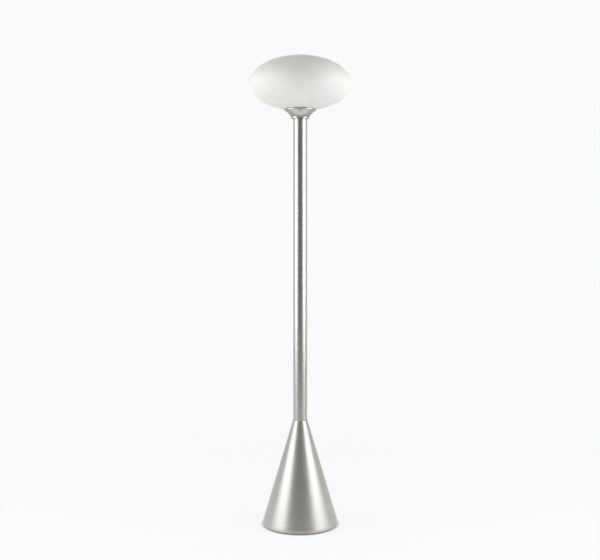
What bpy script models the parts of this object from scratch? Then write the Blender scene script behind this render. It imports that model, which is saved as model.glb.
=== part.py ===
"""Floor lamp: a spun aluminium cone on a weighted base, a tall tube, and a flattened frosted globe
that rests in a flared holder at the top. Metres, +Z up, the origin on the floor under the tube's axis.
The side that faces the viewer is -Y, and the cord inlet is at the back, at +Y."""

import math

import bmesh
import bpy
from mathutils import Matrix, Vector

# ---- driving dimensions -------------------------------------------------------------------------

GAP = 0.0003  # between pieces that touch
FIT = 0.0003  # radial clearance of what passes through a hole or stands in a bore

BASE_RADIUS = 0.1143
CONE_TOP = 0.3205  # height of the cone's upper edge
CONE_WALL = 0.0015
CONE_EDGE = 0.0009  # how far the cone's upper edge stands out from the stem
LIP_BOTTOM = 0.0035  # the cone's lower edge clears the floor by this
LIP_HEIGHT = 0.006

FOOT_HEIGHT = 0.0042
FOOT_INSET = 0.016  # the foot ring stands in from the cone's lower edge by this
FOOT_WIDTH = 0.016
PLATE_THICKNESS = 0.002
PLATE_SCREW_RADIUS = 0.002
PLATE_SCREW_HEAD = 0.004
PLATE_SCREWS = 3
RING_WIDTH = 0.010

WEIGHT_CLEARANCE = 0.0077  # between the weight's upper edge and the cone
WEIGHT_THICKNESS = 0.030
SOCKET_DEPTH = 0.025  # how far the stem stands in the weight
SOCKET_WALL = 0.0057
SOCKET_TAPER = 0.004
WEIGHT_CHAMFER = 0.006
NUT_WELL_DEPTH = 0.0195
INLET_BORE = 0.004  # for a 7 mm mains cord

STEM_RADIUS = 0.021
STEM_WALL = 0.002
HOLDER_BOTTOM = 1.2336  # height of the glass holder's underside

ROD_RADIUS = 0.005
ROD_BORE = 0.0037
NUT_FLATS = 0.017
NUT_HEIGHT = 0.005
WASHER_RADIUS = 0.0105
ROD_PAST_NUT = 0.0027
TAG_RADIUS = 0.0038

HOLDER_HEIGHT = 0.0294
HOLDER_WALL = 0.0015
HOLDER_LEDGE = 0.006  # how far the holder's foot stands out from the stem
RIM_RADIUS = 0.0487
RIM_HEIGHT = 0.005
RIM_STEP = 0.0022  # the rolled rim stands out from the flare by this
FLARE_ARC = 0.045
SEAT_DEPTH = 0.0075  # from the rim's top down to the top of the gallery's flange

GLOBE_RADIUS = 0.1524
GLOBE_HALF_HEIGHT = 0.0804
GLASS_WALL = 0.0035
GASKET = 0.0015
GALLERY_WALL = 0.0012
GALLERY_LIP = 0.0036

LAMPHOLDER_RADIUS = 0.0195
LAMPHOLDER_WALL = 0.0018
DOME_HEIGHT = 0.018
SKIRT_HEIGHT = 0.0317
SKIRT_CHAMFER = 0.001
CAP_RADIUS = 0.0132  # E27 lamp cap
CAP_HEIGHT = 0.021
CAP_END = 0.0095  # radius of the opening in the cap's lower end, and of the shell's
SHEET = 0.0004  # thin contact metal
BULB_RADIUS = 0.0275
BULB_LENGTH = 0.098
BULB_GLASS = 0.001

LEAD_RADIUS = 0.0011
OVERRUN = 0.002  # how far a cutter runs past what it cuts
ROUND = 36  # sides of a large turned piece
SMALL = 16  # sides of a small one
TINY = 8  # sides of a screw or a screw's hole

# ---- places that follow from them ---------------------------------------------------------------

PLATE_BOTTOM = FOOT_HEIGHT + GAP
PLATE_TOP = PLATE_BOTTOM + PLATE_THICKNESS
FLOOR_OF_WEIGHT = PLATE_TOP + GAP
TOP_OF_WEIGHT = FLOOR_OF_WEIGHT + WEIGHT_THICKNESS
NUT_WELL_TOP = FLOOR_OF_WEIGHT + NUT_WELL_DEPTH
EARTH_RADIUS = WASHER_RADIUS + TAG_RADIUS + 2 * GAP  # the earth tag lies beside the washer
NUT_WELL_RADIUS = EARTH_RADIUS + TAG_RADIUS + 0.0013
BASE_WASHER_BOTTOM = NUT_WELL_TOP - GAP - PLATE_THICKNESS
BASE_NUT_BOTTOM = BASE_WASHER_BOTTOM - GAP - NUT_HEIGHT
ROD_BOTTOM = BASE_NUT_BOTTOM - ROD_PAST_NUT
LIP_TOP = LIP_BOTTOM + LIP_HEIGHT
CONE_OPENING = STEM_RADIUS + FIT
CONE_TOP_RADIUS = STEM_RADIUS + CONE_EDGE
CONE_SLOPE = (BASE_RADIUS - CONE_TOP_RADIUS) / (CONE_TOP - LIP_TOP)
CONE_LEAN = math.atan(CONE_SLOPE)
CONE_WALL_ACROSS = CONE_WALL / math.cos(CONE_LEAN)
INSIDE_AT_WEIGHT = BASE_RADIUS - CONE_SLOPE * (TOP_OF_WEIGHT - LIP_TOP) - CONE_WALL_ACROSS
WEIGHT_RADIUS = INSIDE_AT_WEIGHT - WEIGHT_CLEARANCE
FOOT_OUTER = BASE_RADIUS - FOOT_INSET

STEM_BOTTOM = TOP_OF_WEIGHT + GAP
PLUG_FLANGE = 0.002
STEM_TOP = HOLDER_BOTTOM - PLUG_FLANGE - 2 * GAP
ROD_HOLE = ROD_RADIUS + FIT

RIM_TOP = HOLDER_BOTTOM + HOLDER_HEIGHT
HOLDER_FOOT = STEM_RADIUS + HOLDER_LEDGE
FLARE_TOP = RIM_TOP - RIM_HEIGHT
FLARE_TOP_RADIUS = RIM_RADIUS - RIM_STEP
SEAT_TOP = RIM_TOP - SEAT_DEPTH
GASKET_BOTTOM = SEAT_TOP + GAP
NECK_BOTTOM = GASKET_BOTTOM + GASKET + GAP
GLOBE_CENTRE = RIM_TOP + GAP + GLOBE_HALF_HEIGHT * math.sqrt(1 - (RIM_RADIUS / GLOBE_RADIUS) ** 2)

HUB_TOP = HOLDER_BOTTOM + HOLDER_WALL + GAP + GALLERY_WALL
LOCK_WASHER = 0.0012
TOP_NUT_BOTTOM = HUB_TOP + LOCK_WASHER + 2 * GAP
DOME_BOTTOM = TOP_NUT_BOTTOM + NUT_HEIGHT + GAP
DOME_TOP = DOME_BOTTOM + DOME_HEIGHT
DOME_BOSS = 0.0055
ROD_TOP = DOME_BOTTOM + 0.004
SPIGOT = 0.004  # the dome's threaded neck, which the skirt screws on to
SKIRT_BOTTOM = DOME_TOP - SPIGOT + GAP
INSERT_BOTTOM = DOME_TOP - 0.0065
INSERT_TOP = DOME_TOP + GAP + 0.0022
SHELL_BOTTOM = INSERT_TOP + GAP
SHELL_RADIUS = CAP_RADIUS + SHEET + SHEET  # inside of the screw shell clears the cap by one sheet
CONTACT_RISE = 0.0032
BULB_BOTTOM = SHELL_BOTTOM + CONTACT_RISE + GAP
CAP_BOTTOM = BULB_BOTTOM + 0.0037
CAP_TOP = CAP_BOTTOM + CAP_HEIGHT
BULB_TOP = BULB_BOTTOM + BULB_LENGTH

# ---- helpers ------------------------------------------------------------------------------------


def clear_scene():
    for thing in list(bpy.data.objects):
        bpy.data.objects.remove(thing, do_unlink=True)


def finish(name, colour, roughness, metallic, alpha=1.0):
    """A plain Principled material."""
    material = bpy.data.materials.new(name)
    material.use_nodes = True
    shader = material.node_tree.nodes["Principled BSDF"]
    shader.inputs["Base Color"].default_value = (*colour, 1.0)
    shader.inputs["Roughness"].default_value = roughness
    shader.inputs["Metallic"].default_value = metallic
    shader.inputs["Alpha"].default_value = alpha
    return material


def add_object(name, shape, material, smooth=True):
    """Writes a bmesh into a new object and frees it."""
    bmesh.ops.remove_doubles(shape, verts=shape.verts, dist=0.00001)
    bmesh.ops.recalc_face_normals(shape, faces=shape.faces)
    mesh = bpy.data.meshes.new(name)
    shape.to_mesh(mesh)
    shape.free()
    if smooth:
        mesh.shade_smooth()
        mesh.set_sharp_from_angle(angle=math.radians(35))
    mesh.materials.append(material)
    thing = bpy.data.objects.new(name, mesh)
    bpy.context.scene.collection.objects.link(thing)
    return thing


def turned(name, outline, material, sides=ROUND):
    """A piece turned about +Z from (radius, height) points. An outline that starts and ends on the
    axis is left open there, and any other is closed into a ring."""
    shape = bmesh.new()
    points = [shape.verts.new((radius, 0, height)) for radius, height in outline]
    following = points[1:] if outline[0][0] == 0 else points[1:] + points[:1]
    edges = [shape.edges.new(pair) for pair in zip(points, following)]
    bmesh.ops.spin(
        shape,
        geom=points + edges,
        cent=(0, 0, 0),
        axis=(0, 0, 1),
        angle=math.tau,
        steps=sides,
        use_merge=True,
    )
    return add_object(name, shape, material)


def ring(name, inner, outer, bottom, top, material, sides=ROUND):
    return turned(name, [(outer, bottom), (outer, top), (inner, top), (inner, bottom)], material, sides)


def block(name, low, high, material, bevel=0.0):
    shape = bmesh.new()
    size = Vector(high) - Vector(low)
    centre = (Vector(high) + Vector(low)) / 2
    bmesh.ops.create_cube(shape, size=1, matrix=Matrix.Translation(centre) @ Matrix.Diagonal((*size, 1)))
    if bevel:
        bmesh.ops.bevel(
            shape, geom=shape.edges[:], offset=bevel, affect="EDGES", segments=1, profile=0.5, material=-1
        )
    return add_object(name, shape, material, smooth=False)


def turned_to(direction):
    """The rotation that points +Z along a direction."""
    return Vector(direction).to_track_quat("Z", "Y").to_matrix().to_4x4()


def rod(name, start, end, radius, material, sides=SMALL):
    """A plain cylinder between two points."""
    along = Vector(end) - Vector(start)
    shape = bmesh.new()
    bmesh.ops.create_cone(
        shape,
        cap_ends=True,
        segments=sides,
        radius1=radius,
        radius2=radius,
        depth=along.length,
        matrix=Matrix.Translation((Vector(start) + Vector(end)) / 2) @ turned_to(along),
    )
    return add_object(name, shape, material)


def cut(piece, cutter):
    """Takes the cutter's shape out of the piece, and keeps the cutter as a hidden guide."""
    cutter.hide_render = True
    cutter.display_type = "WIRE"
    modifier = piece.modifiers.new("cut " + cutter.name, "BOOLEAN")
    modifier.operation = "DIFFERENCE"
    modifier.object = cutter


def arc(centre, radius, start, end, steps):
    """Points on a circle in the (radius, height) plane, with angles in degrees from the +radius axis."""
    turns = [math.radians(start + (end - start) * step / steps) for step in range(steps + 1)]
    return [(centre[0] + radius * math.cos(turn), centre[1] + radius * math.sin(turn)) for turn in turns]


def hex_nut(name, bottom, material):
    shape = bmesh.new()
    corner = NUT_FLATS / 2 / math.cos(math.radians(30))
    centre = Matrix.Translation((0, 0, bottom + NUT_HEIGHT / 2))
    bmesh.ops.create_cone(
        shape, cap_ends=True, segments=6, radius1=corner, radius2=corner, depth=NUT_HEIGHT, matrix=centre
    )
    nut = add_object(name, shape, material, smooth=False)
    low = (0, 0, bottom - OVERRUN)
    high = (0, 0, bottom + NUT_HEIGHT + OVERRUN)
    cut(nut, rod(name + "_bore", low, high, ROD_HOLE, material))
    return nut


def screw(name, head_base, direction, shank_length, head_radius, shank_radius, material):
    """A pan-head screw. The underside of its head is at head_base, and its shank runs along direction."""
    head_height = head_radius / 2
    outline = [
        (0, shank_length),
        (shank_radius, shank_length),
        (shank_radius, 0),
        (head_radius, 0),
        (head_radius, -head_height * 0.6),
        (head_radius * 0.7, -head_height),
        (0, -head_height),
    ]
    made = turned(name, outline, material, TINY)
    made.matrix_world = Matrix.Translation(head_base) @ turned_to(direction)
    return made


def smooth_route(points, steps):
    """A smooth path through every point of a route."""
    ends = [points[0] * 2 - points[1], *points, points[-1] * 2 - points[-2]]
    path = []
    for before, here, after, later in zip(ends, ends[1:], ends[2:], ends[3:]):
        for step in range(steps):
            t = step / steps
            path.append(
                0.5
                * (
                    2 * here
                    + (after - before) * t
                    + (2 * before - 5 * here + 4 * after - later) * t**2
                    + (3 * here - before - 3 * after + later) * t**3
                )
            )
    return [*path, points[-1]]


def wire(name, path, radius, material):
    """A round lead of one radius along a path."""
    curve = bpy.data.curves.new(name, "CURVE")
    curve.dimensions = "3D"
    curve.bevel_depth = radius
    curve.bevel_resolution = 2
    curve.use_fill_caps = True
    spline = curve.splines.new("POLY")
    spline.points.add(len(path) - 1)
    for point, place in zip(spline.points, path):
        point.co = (*place, 1)
    curve.materials.append(material)
    thing = bpy.data.objects.new(name, curve)
    bpy.context.scene.collection.objects.link(thing)
    return thing


# ---- the base -----------------------------------------------------------------------------------


def cone_radius(height):
    """Outer radius of the cone at a height, on its slope or on the upright lip below it."""
    return BASE_RADIUS - CONE_SLOPE * max(0, height - LIP_TOP)


def around(radius, degrees, height):
    turn = math.radians(degrees)
    return (radius * math.cos(turn), radius * math.sin(turn), height)


INLET_HEIGHT = 0.019
INLET_HOLE = 0.0062
GROMMET_FLANGE = 0.0085
GROMMET_INNER_LIP = 0.0075
GROMMET_THICKNESS = 0.0015
OUT_OF_WALL = Vector((0, math.cos(CONE_LEAN), math.sin(CONE_LEAN)))  # square to the cone, at the back
INLET_PLACE = Vector((0, cone_radius(INLET_HEIGHT), INLET_HEIGHT))


def make_cone(aluminium):
    """The spun shell: a plain slope with a short upright lip, cut at the back for the inlet."""
    edge = 0.0004
    meets_opening = CONE_TOP - (CONE_OPENING + CONE_WALL_ACROSS - CONE_TOP_RADIUS) / CONE_SLOPE
    inside = BASE_RADIUS - CONE_WALL_ACROSS
    outline = [
        (BASE_RADIUS, LIP_BOTTOM),
        (BASE_RADIUS, LIP_TOP),
        (CONE_TOP_RADIUS, CONE_TOP - edge),
        (CONE_TOP_RADIUS - edge, CONE_TOP),
        (CONE_OPENING, CONE_TOP),
        (CONE_OPENING, meets_opening),
        (inside, LIP_TOP),
        (inside, LIP_BOTTOM),
    ]
    cone = turned("base_cone", outline, aluminium)
    through = OUT_OF_WALL * (CONE_WALL + 2 * OVERRUN)
    cut(cone, rod("inlet_hole", INLET_PLACE - through, INLET_PLACE + through, INLET_HOLE, aluminium))


def make_grommet(rubber):
    """A bush that grips the edge of the inlet hole. The wall curves in behind it, so its inner lip
    stands off by three times the gap."""
    behind = -CONE_WALL - 3 * GAP
    taper = 0.0006
    outline = [
        (INLET_BORE, GAP + GROMMET_THICKNESS),
        (INLET_BORE, behind - GROMMET_THICKNESS),
        (GROMMET_INNER_LIP, behind - GROMMET_THICKNESS),
        (GROMMET_INNER_LIP, behind),
        (INLET_HOLE - GAP, behind),
        (INLET_HOLE - GAP, GAP),
        (GROMMET_FLANGE, GAP),
        (GROMMET_FLANGE - taper, GAP + GROMMET_THICKNESS),
    ]
    grommet = turned("inlet_grommet", outline, rubber, SMALL)
    grommet.matrix_world = Matrix.Translation(INLET_PLACE) @ turned_to(OUT_OF_WALL)


def make_floor_pieces(steel, rubber):
    """The plate that closes the base, its screws, the ring that they hold to, and the foot under it."""
    ring("foot_ring", FOOT_OUTER - FOOT_WIDTH, FOOT_OUTER, 0, FOOT_HEIGHT, rubber)
    inside = BASE_RADIUS - CONE_WALL_ACROSS
    plate_radius = inside - 4 * GAP
    plate = turned(
        "bottom_plate",
        [(0, PLATE_BOTTOM), (plate_radius, PLATE_BOTTOM), (plate_radius, PLATE_TOP), (0, PLATE_TOP)],
        steel,
    )
    ring_top = FLOOR_OF_WEIGHT + PLATE_THICKNESS
    ring_outer = cone_radius(ring_top) - CONE_WALL_ACROSS - GAP
    ring_inner = ring_outer - RING_WIDTH
    holding_ring = ring("cone_ring", ring_inner, ring_outer, FLOOR_OF_WEIGHT, ring_top, steel)
    circle = (ring_inner + ring_outer) / 2
    first = 30  # the inlet at the back is at 90 degrees, between two screws
    standing_out = 0.001
    length = ring_top - PLATE_BOTTOM + standing_out
    for number in range(PLATE_SCREWS):
        angle = first + number * 360 / PLATE_SCREWS
        low = around(circle, angle, PLATE_BOTTOM - OVERRUN)
        high = around(circle, angle, ring_top + OVERRUN)
        for piece in (plate, holding_ring):
            hole_name = f"{piece.name}_screw_hole_{number + 1}"
            cut(piece, rod(hole_name, low, high, PLATE_SCREW_RADIUS + FIT, steel, TINY))
        name = f"plate_screw_{number + 1}"
        place = around(circle, angle, PLATE_BOTTOM - GAP)
        screw(name, place, (0, 0, 1), length, PLATE_SCREW_HEAD, PLATE_SCREW_RADIUS, steel)


BLOCK_SIZE = Vector((0.034, 0.014, 0.013))
BLOCK_CENTRE_Y = 0.042
BLOCK_TOP = FLOOR_OF_WEIGHT + 0.0185
WAY_PITCH = 0.011
EARTH_PLACE = around(EARTH_RADIUS, -39.5, 0)[:2]
EARTH_SCREW_RADIUS = 0.0018
EARTH_SCREW_LENGTH = 0.007


def make_weight(iron):
    """A cast disc with a socket that the stem stands in. Its underside is hollowed for the nut, the
    terminal block and the way to the inlet."""
    boss = STEM_RADIUS + FIT + SOCKET_WALL
    outline = [
        (ROD_HOLE, NUT_WELL_TOP),
        (ROD_HOLE, TOP_OF_WEIGHT),
        (STEM_RADIUS + FIT, TOP_OF_WEIGHT),
        (STEM_RADIUS + FIT, TOP_OF_WEIGHT + SOCKET_DEPTH),
        (boss, TOP_OF_WEIGHT + SOCKET_DEPTH),
        (boss + SOCKET_TAPER, TOP_OF_WEIGHT),
        (WEIGHT_RADIUS - WEIGHT_CHAMFER, TOP_OF_WEIGHT),
        (WEIGHT_RADIUS, TOP_OF_WEIGHT - WEIGHT_CHAMFER),
        (WEIGHT_RADIUS, FLOOR_OF_WEIGHT),
        (NUT_WELL_RADIUS, FLOOR_OF_WEIGHT),
        (NUT_WELL_RADIUS, NUT_WELL_TOP),
    ]
    weight = turned("base_weight", outline, iron)
    below = FLOOR_OF_WEIGHT - OVERRUN
    room = 0.003
    half_x = BLOCK_SIZE.x / 2 + room
    front = BLOCK_CENTRE_Y - BLOCK_SIZE.y / 2 - room
    back = BLOCK_CENTRE_Y + BLOCK_SIZE.y / 2 + room
    ceiling = BLOCK_TOP + GAP
    slot = WAY_PITCH + 0.0035
    channel = INLET_BORE + 0.002
    step = 0.001  # each pocket is a step lower than the one before it, and runs a step into it
    cut(weight, block("block_pocket", (-half_x, front, below), (half_x, back, ceiling), iron))
    cut(weight, block("lead_slot", (-slot, 0, below), (slot, front + step, ceiling - step), iron))
    channel_end = WEIGHT_RADIUS + OVERRUN
    channel_low = (-channel, back - step, below)
    cut(weight, block("cord_channel", channel_low, (channel, channel_end, ceiling - 2 * step), iron))
    hole_low = (*EARTH_PLACE, NUT_WELL_TOP - OVERRUN)
    hole_high = (*EARTH_PLACE, NUT_WELL_TOP + EARTH_SCREW_LENGTH)
    cut(weight, rod("earth_screw_hole", hole_low, hole_high, EARTH_SCREW_RADIUS + FIT, iron, TINY))


def make_terminal_block(nylon, brass):
    """Three ways side by side, each a bore from front to back with a screw at each end."""
    half = BLOCK_SIZE / 2
    low = Vector((-half.x, BLOCK_CENTRE_Y - half.y, BLOCK_TOP - BLOCK_SIZE.z))
    high = Vector((half.x, BLOCK_CENTRE_Y + half.y, BLOCK_TOP))
    body = block("terminal_block", low, high, nylon, bevel=0.0006)
    bore = LEAD_RADIUS + 0.0007
    bore_height = (low.z + high.z) / 2
    screw_radius = 0.0014
    head_radius = 0.0022
    length = bore_height - bore + GAP - low.z
    number = 0
    for way in (-1, 0, 1):
        x = way * WAY_PITCH
        front = (x, low.y - OVERRUN, bore_height)
        back = (x, high.y + OVERRUN, bore_height)
        cut(body, rod(f"way_bore_{way + 2}", front, back, bore, nylon, TINY))
        for side in (-1, 1):
            number += 1
            y = BLOCK_CENTRE_Y + side * half.y / 2
            bottom = (x, y, low.z - OVERRUN)
            top = (x, y, bore_height)
            cut(body, rod(f"terminal_hole_{number}", bottom, top, screw_radius + FIT, nylon, TINY))
            name = f"terminal_screw_{number}"
            head_base = (x, y, low.z - GAP)
            screw(name, head_base, (0, 0, 1), length, head_radius, screw_radius, brass)


def make_clamping_pieces(steel):
    """The hollow rod that ties the lamp together from the weight to the lampholder, and its nuts."""
    ring("tie_rod", ROD_BORE, ROD_RADIUS, ROD_BOTTOM, ROD_TOP, steel, SMALL)
    ring("base_washer", ROD_HOLE, WASHER_RADIUS, BASE_WASHER_BOTTOM, NUT_WELL_TOP - GAP, steel, SMALL)
    hex_nut("base_nut", BASE_NUT_BOTTOM, steel)
    washer_top = TOP_NUT_BOTTOM - GAP
    ring("lock_washer", ROD_HOLE, WASHER_RADIUS - 0.001, washer_top - LOCK_WASHER, washer_top, steel, SMALL)
    hex_nut("top_nut", TOP_NUT_BOTTOM, steel)


# ---- the stem and the glass holder --------------------------------------------------------------


def make_stem(aluminium, nylon):
    ring("stem_tube", STEM_RADIUS - STEM_WALL, STEM_RADIUS, STEM_BOTTOM, STEM_TOP, aluminium)
    bush_top = CONE_TOP - 0.012
    bush_height = 0.014

    def inside_cone(height):
        return cone_radius(height) - CONE_WALL_ACROSS - GAP

    bush = [
        (STEM_RADIUS + FIT, bush_top),
        (STEM_RADIUS + FIT, bush_top - bush_height),
        (inside_cone(bush_top - bush_height), bush_top - bush_height),
        (inside_cone(bush_top), bush_top),
    ]
    turned("cone_bush", bush, nylon, ROUND)


def make_plug(steel):
    """It carries the holder on the end of the stem, and centres the rod."""
    body = STEM_RADIUS - STEM_WALL - FIT
    flange_bottom = STEM_TOP + GAP
    body_bottom = STEM_TOP - 0.018
    outline = [
        (ROD_HOLE, body_bottom),
        (body, body_bottom),
        (body, flange_bottom),
        (STEM_RADIUS - GAP, flange_bottom),
        (STEM_RADIUS - GAP, flange_bottom + PLUG_FLANGE),
        (ROD_HOLE, flange_bottom + PLUG_FLANGE),
    ]
    turned("stem_plug", outline, steel, SMALL)


FOOT_ROUND = 0.002
FLARE_LOW = (HOLDER_FOOT, HOLDER_BOTTOM + FOOT_ROUND)
FLARE_HIGH = (FLARE_TOP_RADIUS, FLARE_TOP)


def flare_centre():
    """Centre of the arc, outside the holder, that runs from the foot up to the rim."""
    low = Vector(FLARE_LOW)
    high = Vector(FLARE_HIGH)
    chord = high - low
    away = Vector((chord.y, -chord.x)).normalized()
    return (low + high) / 2 + away * math.sqrt(FLARE_ARC**2 - chord.length_squared / 4)


def flare_radius(height, wall=0.0):
    """Radius of the flare at a height: its outside, or the surface a wall's thickness inside it."""
    centre = flare_centre()
    return centre.x - math.sqrt((FLARE_ARC + wall) ** 2 - (height - centre.y) ** 2)


def flare(bottom, top, steps, wall=0.0):
    heights = [bottom + (top - bottom) * step / steps for step in range(steps + 1)]
    return [(flare_radius(height, wall), height) for height in heights]


def make_holder(aluminium):
    """A spun cup: a rounded foot on the stem, a trumpet-shaped flare, and a rolled rim."""
    steps = 5
    corner = 0.001
    inner_foot = HOLDER_BOTTOM + HOLDER_WALL
    flare_inner_top = FLARE_TOP + HOLDER_WALL
    foot = arc((HOLDER_FOOT - FOOT_ROUND, HOLDER_BOTTOM + FOOT_ROUND), FOOT_ROUND, -90, 0, 3)
    outline = [
        (ROD_HOLE, HOLDER_BOTTOM),
        *foot[:-1],
        *flare(FLARE_LOW[1], FLARE_HIGH[1], steps),
        (RIM_RADIUS - corner, FLARE_TOP),
        (RIM_RADIUS, FLARE_TOP + corner),
        (RIM_RADIUS, RIM_TOP - corner),
        (RIM_RADIUS - corner, RIM_TOP),
        (RIM_RADIUS - HOLDER_WALL, RIM_TOP - corner),
        (RIM_RADIUS - HOLDER_WALL, flare_inner_top),
        *reversed(flare(inner_foot + FOOT_ROUND, FLARE_TOP, steps, HOLDER_WALL)),
        (HOLDER_FOOT - FOOT_ROUND - HOLDER_WALL, inner_foot),
        (ROD_HOLE, inner_foot),
    ]
    turned("glass_holder", outline, aluminium)


def gallery_radius():
    """Outside of the gallery's lip, which stands just clear of the flare."""
    return flare_radius(SEAT_TOP - GALLERY_WALL, HOLDER_WALL) - 2 * GAP


def neck_radius():
    """Outside of the glass neck, which stands inside the gallery's lip."""
    return gallery_radius() - GALLERY_WALL - FIT


def make_gallery(steel, rubber):
    """A pressed tray, clamped at its hub, that the glass neck stands in on a gasket."""
    well = LAMPHOLDER_RADIUS + 0.0035
    hub_bottom = HUB_TOP - GALLERY_WALL
    outer = gallery_radius()
    flange_bottom = SEAT_TOP - GALLERY_WALL
    lip_top = SEAT_TOP + GALLERY_LIP
    outline = [
        (ROD_HOLE, hub_bottom),
        (well, hub_bottom),
        (well + GALLERY_WALL / 2, flange_bottom),
        (outer, flange_bottom),
        (outer, lip_top),
        (outer - GALLERY_WALL, lip_top),
        (outer - GALLERY_WALL, SEAT_TOP),
        (well - GALLERY_WALL / 2, SEAT_TOP),
        (well - GALLERY_WALL, HUB_TOP),
        (ROD_HOLE, HUB_TOP),
    ]
    turned("gallery", outline, steel)
    inner = neck_radius() - GLASS_WALL
    ring("glass_gasket", inner, neck_radius() - FIT, GASKET_BOTTOM, GASKET_BOTTOM + GASKET, rubber)


# ---- the globe ----------------------------------------------------------------------------------


def make_globe(glass):
    """A blown globe, flattened to an ellipse, open below in a short straight neck."""
    steps = 6
    outer_neck = neck_radius()
    inner_neck = outer_neck - GLASS_WALL

    def ellipse(radius, half_height, neck):
        """From the axis at the top, out to the equator, and in to where the neck begins."""
        crown = [(0, 90)] + [(step, 90 - 90 * step / steps) for step in range(1, steps + 1)]
        last = -math.degrees(math.acos(neck / radius))
        belly = [(step, last * step / steps) for step in range(1, steps + 1)]
        places = []
        for step, degrees in crown + belly:
            turn = math.radians(degrees)
            across = radius * math.cos(turn) if step else 0
            places.append((across, GLOBE_CENTRE + half_height * math.sin(turn)))
        return places

    outside = ellipse(GLOBE_RADIUS, GLOBE_HALF_HEIGHT, outer_neck)
    inside = ellipse(GLOBE_RADIUS - GLASS_WALL, GLOBE_HALF_HEIGHT - GLASS_WALL, inner_neck)
    lip = 0.0008
    neck_end = [
        (outer_neck, NECK_BOTTOM + lip),
        (outer_neck - lip, NECK_BOTTOM),
        (inner_neck + lip, NECK_BOTTOM),
        (inner_neck, NECK_BOTTOM + lip),
    ]
    turned("globe", [*outside, *neck_end, *reversed(inside)], glass)


# ---- the lampholder -----------------------------------------------------------------------------

TERMINAL_NEAR = 0.0085  # from the axis to the side of a terminal that its lead enters
TERMINAL_SIZE = Vector((0.0045, 0.006, 0.005))


def make_lampholder(plastic, porcelain, brass, steel):
    """A plastic dome on the rod and a skirt screwed to it, round a porcelain insert and its contacts."""
    spigot_radius = LAMPHOLDER_RADIUS - LAMPHOLDER_WALL
    spigot_inside = spigot_radius - LAMPHOLDER_WALL
    boss = 0.0095
    floor_rise = 0.0025
    shoulder = 0.004
    dome_outline = [
        (ROD_HOLE, DOME_BOTTOM),
        (LAMPHOLDER_RADIUS - shoulder, DOME_BOTTOM),
        (LAMPHOLDER_RADIUS, DOME_BOTTOM + shoulder),
        (LAMPHOLDER_RADIUS, DOME_TOP - SPIGOT),
        (spigot_radius, DOME_TOP - SPIGOT),
        (spigot_radius, DOME_TOP),
        (spigot_inside, DOME_TOP),
        (spigot_inside, DOME_BOTTOM + shoulder + GAP),
        (boss, DOME_BOTTOM + floor_rise),
        (boss, DOME_BOTTOM + DOME_BOSS),
        (ROD_HOLE, DOME_BOTTOM + DOME_BOSS),
    ]
    dome = turned("lampholder_dome", dome_outline, plastic, SMALL)
    grub_height = DOME_BOTTOM + floor_rise
    grub_radius = 0.0012
    grub_length = 0.0074
    hole_start = (0, -ROD_RADIUS, grub_height)
    hole_end = (0, -LAMPHOLDER_RADIUS - OVERRUN, grub_height)
    cut(dome, rod("grub_hole", hole_start, hole_end, grub_radius + FIT, plastic, TINY))
    grub_tip = -ROD_RADIUS - 2 * GAP
    grub_start = (0, grub_tip, grub_height)
    grub_end = (0, grub_tip - grub_length, grub_height)
    rod("grub_screw", grub_start, grub_end, grub_radius, steel, TINY)

    insert_radius = spigot_inside - FIT
    insert_outline = [
        (0, INSERT_BOTTOM),
        (insert_radius, INSERT_BOTTOM),
        (insert_radius, DOME_TOP + GAP),
        (spigot_radius - FIT, DOME_TOP + GAP),
        (spigot_radius - FIT, INSERT_TOP),
        (0, INSERT_TOP),
    ]
    turned("lampholder_insert", insert_outline, porcelain, SMALL)

    skirt_inside = SHELL_RADIUS + SHEET + FIT
    skirt_top = SKIRT_BOTTOM + SKIRT_HEIGHT
    skirt_outline = [
        (spigot_radius + FIT, SKIRT_BOTTOM),
        (LAMPHOLDER_RADIUS, SKIRT_BOTTOM),
        (LAMPHOLDER_RADIUS, skirt_top - SKIRT_CHAMFER),
        (LAMPHOLDER_RADIUS - SKIRT_CHAMFER, skirt_top),
        (skirt_inside, skirt_top),
        (skirt_inside, INSERT_TOP + 2 * GAP),
        (spigot_radius + FIT, INSERT_TOP + GAP),
    ]
    turned("lampholder_skirt", skirt_outline, plastic, SMALL)

    shell_top = skirt_top - 0.0015
    shell_outline = [
        (CAP_END, SHELL_BOTTOM),
        (SHELL_RADIUS + SHEET, SHELL_BOTTOM),
        (SHELL_RADIUS + SHEET, shell_top),
        (SHELL_RADIUS, shell_top),
        (SHELL_RADIUS, SHELL_BOTTOM + SHEET),
        (CAP_END, SHELL_BOTTOM + SHEET),
    ]
    turned("screw_shell", shell_outline, brass, SMALL)
    make_contacts(brass)


def make_contacts(brass):
    """The springy centre contact, and a terminal under the insert for each lead."""
    width = 0.005
    foot = -0.0065
    flat = 0.003
    rise = CONTACT_RISE - SHEET
    shape = bmesh.new()
    lower = [(foot, 0.0), (foot + flat, 0.0), (0.0, rise), (flat, rise)]
    upper = [(x, z + SHEET) for x, z in lower]
    corners = [(x, -width / 2, SHELL_BOTTOM + z) for x, z in lower + upper[::-1]]
    side = shape.faces.new([shape.verts.new(corner) for corner in corners])
    pushed = bmesh.ops.extrude_face_region(shape, geom=[side])
    moved = [item for item in pushed["geom"] if isinstance(item, bmesh.types.BMVert)]
    bmesh.ops.translate(shape, verts=moved, vec=(0, width, 0))
    add_object("centre_contact", shape, brass, smooth=False)

    half_width = TERMINAL_SIZE.y / 2
    top = INSERT_BOTTOM - GAP
    for name, side_of_axis in (("live_terminal", -1), ("neutral_terminal", 1)):
        near = TERMINAL_NEAR * side_of_axis
        far = (TERMINAL_NEAR + TERMINAL_SIZE.x) * side_of_axis
        low = (min(near, far), -half_width, top - TERMINAL_SIZE.z)
        high = (max(near, far), half_width, top)
        block(name, low, high, brass, bevel=0.0004)


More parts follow.
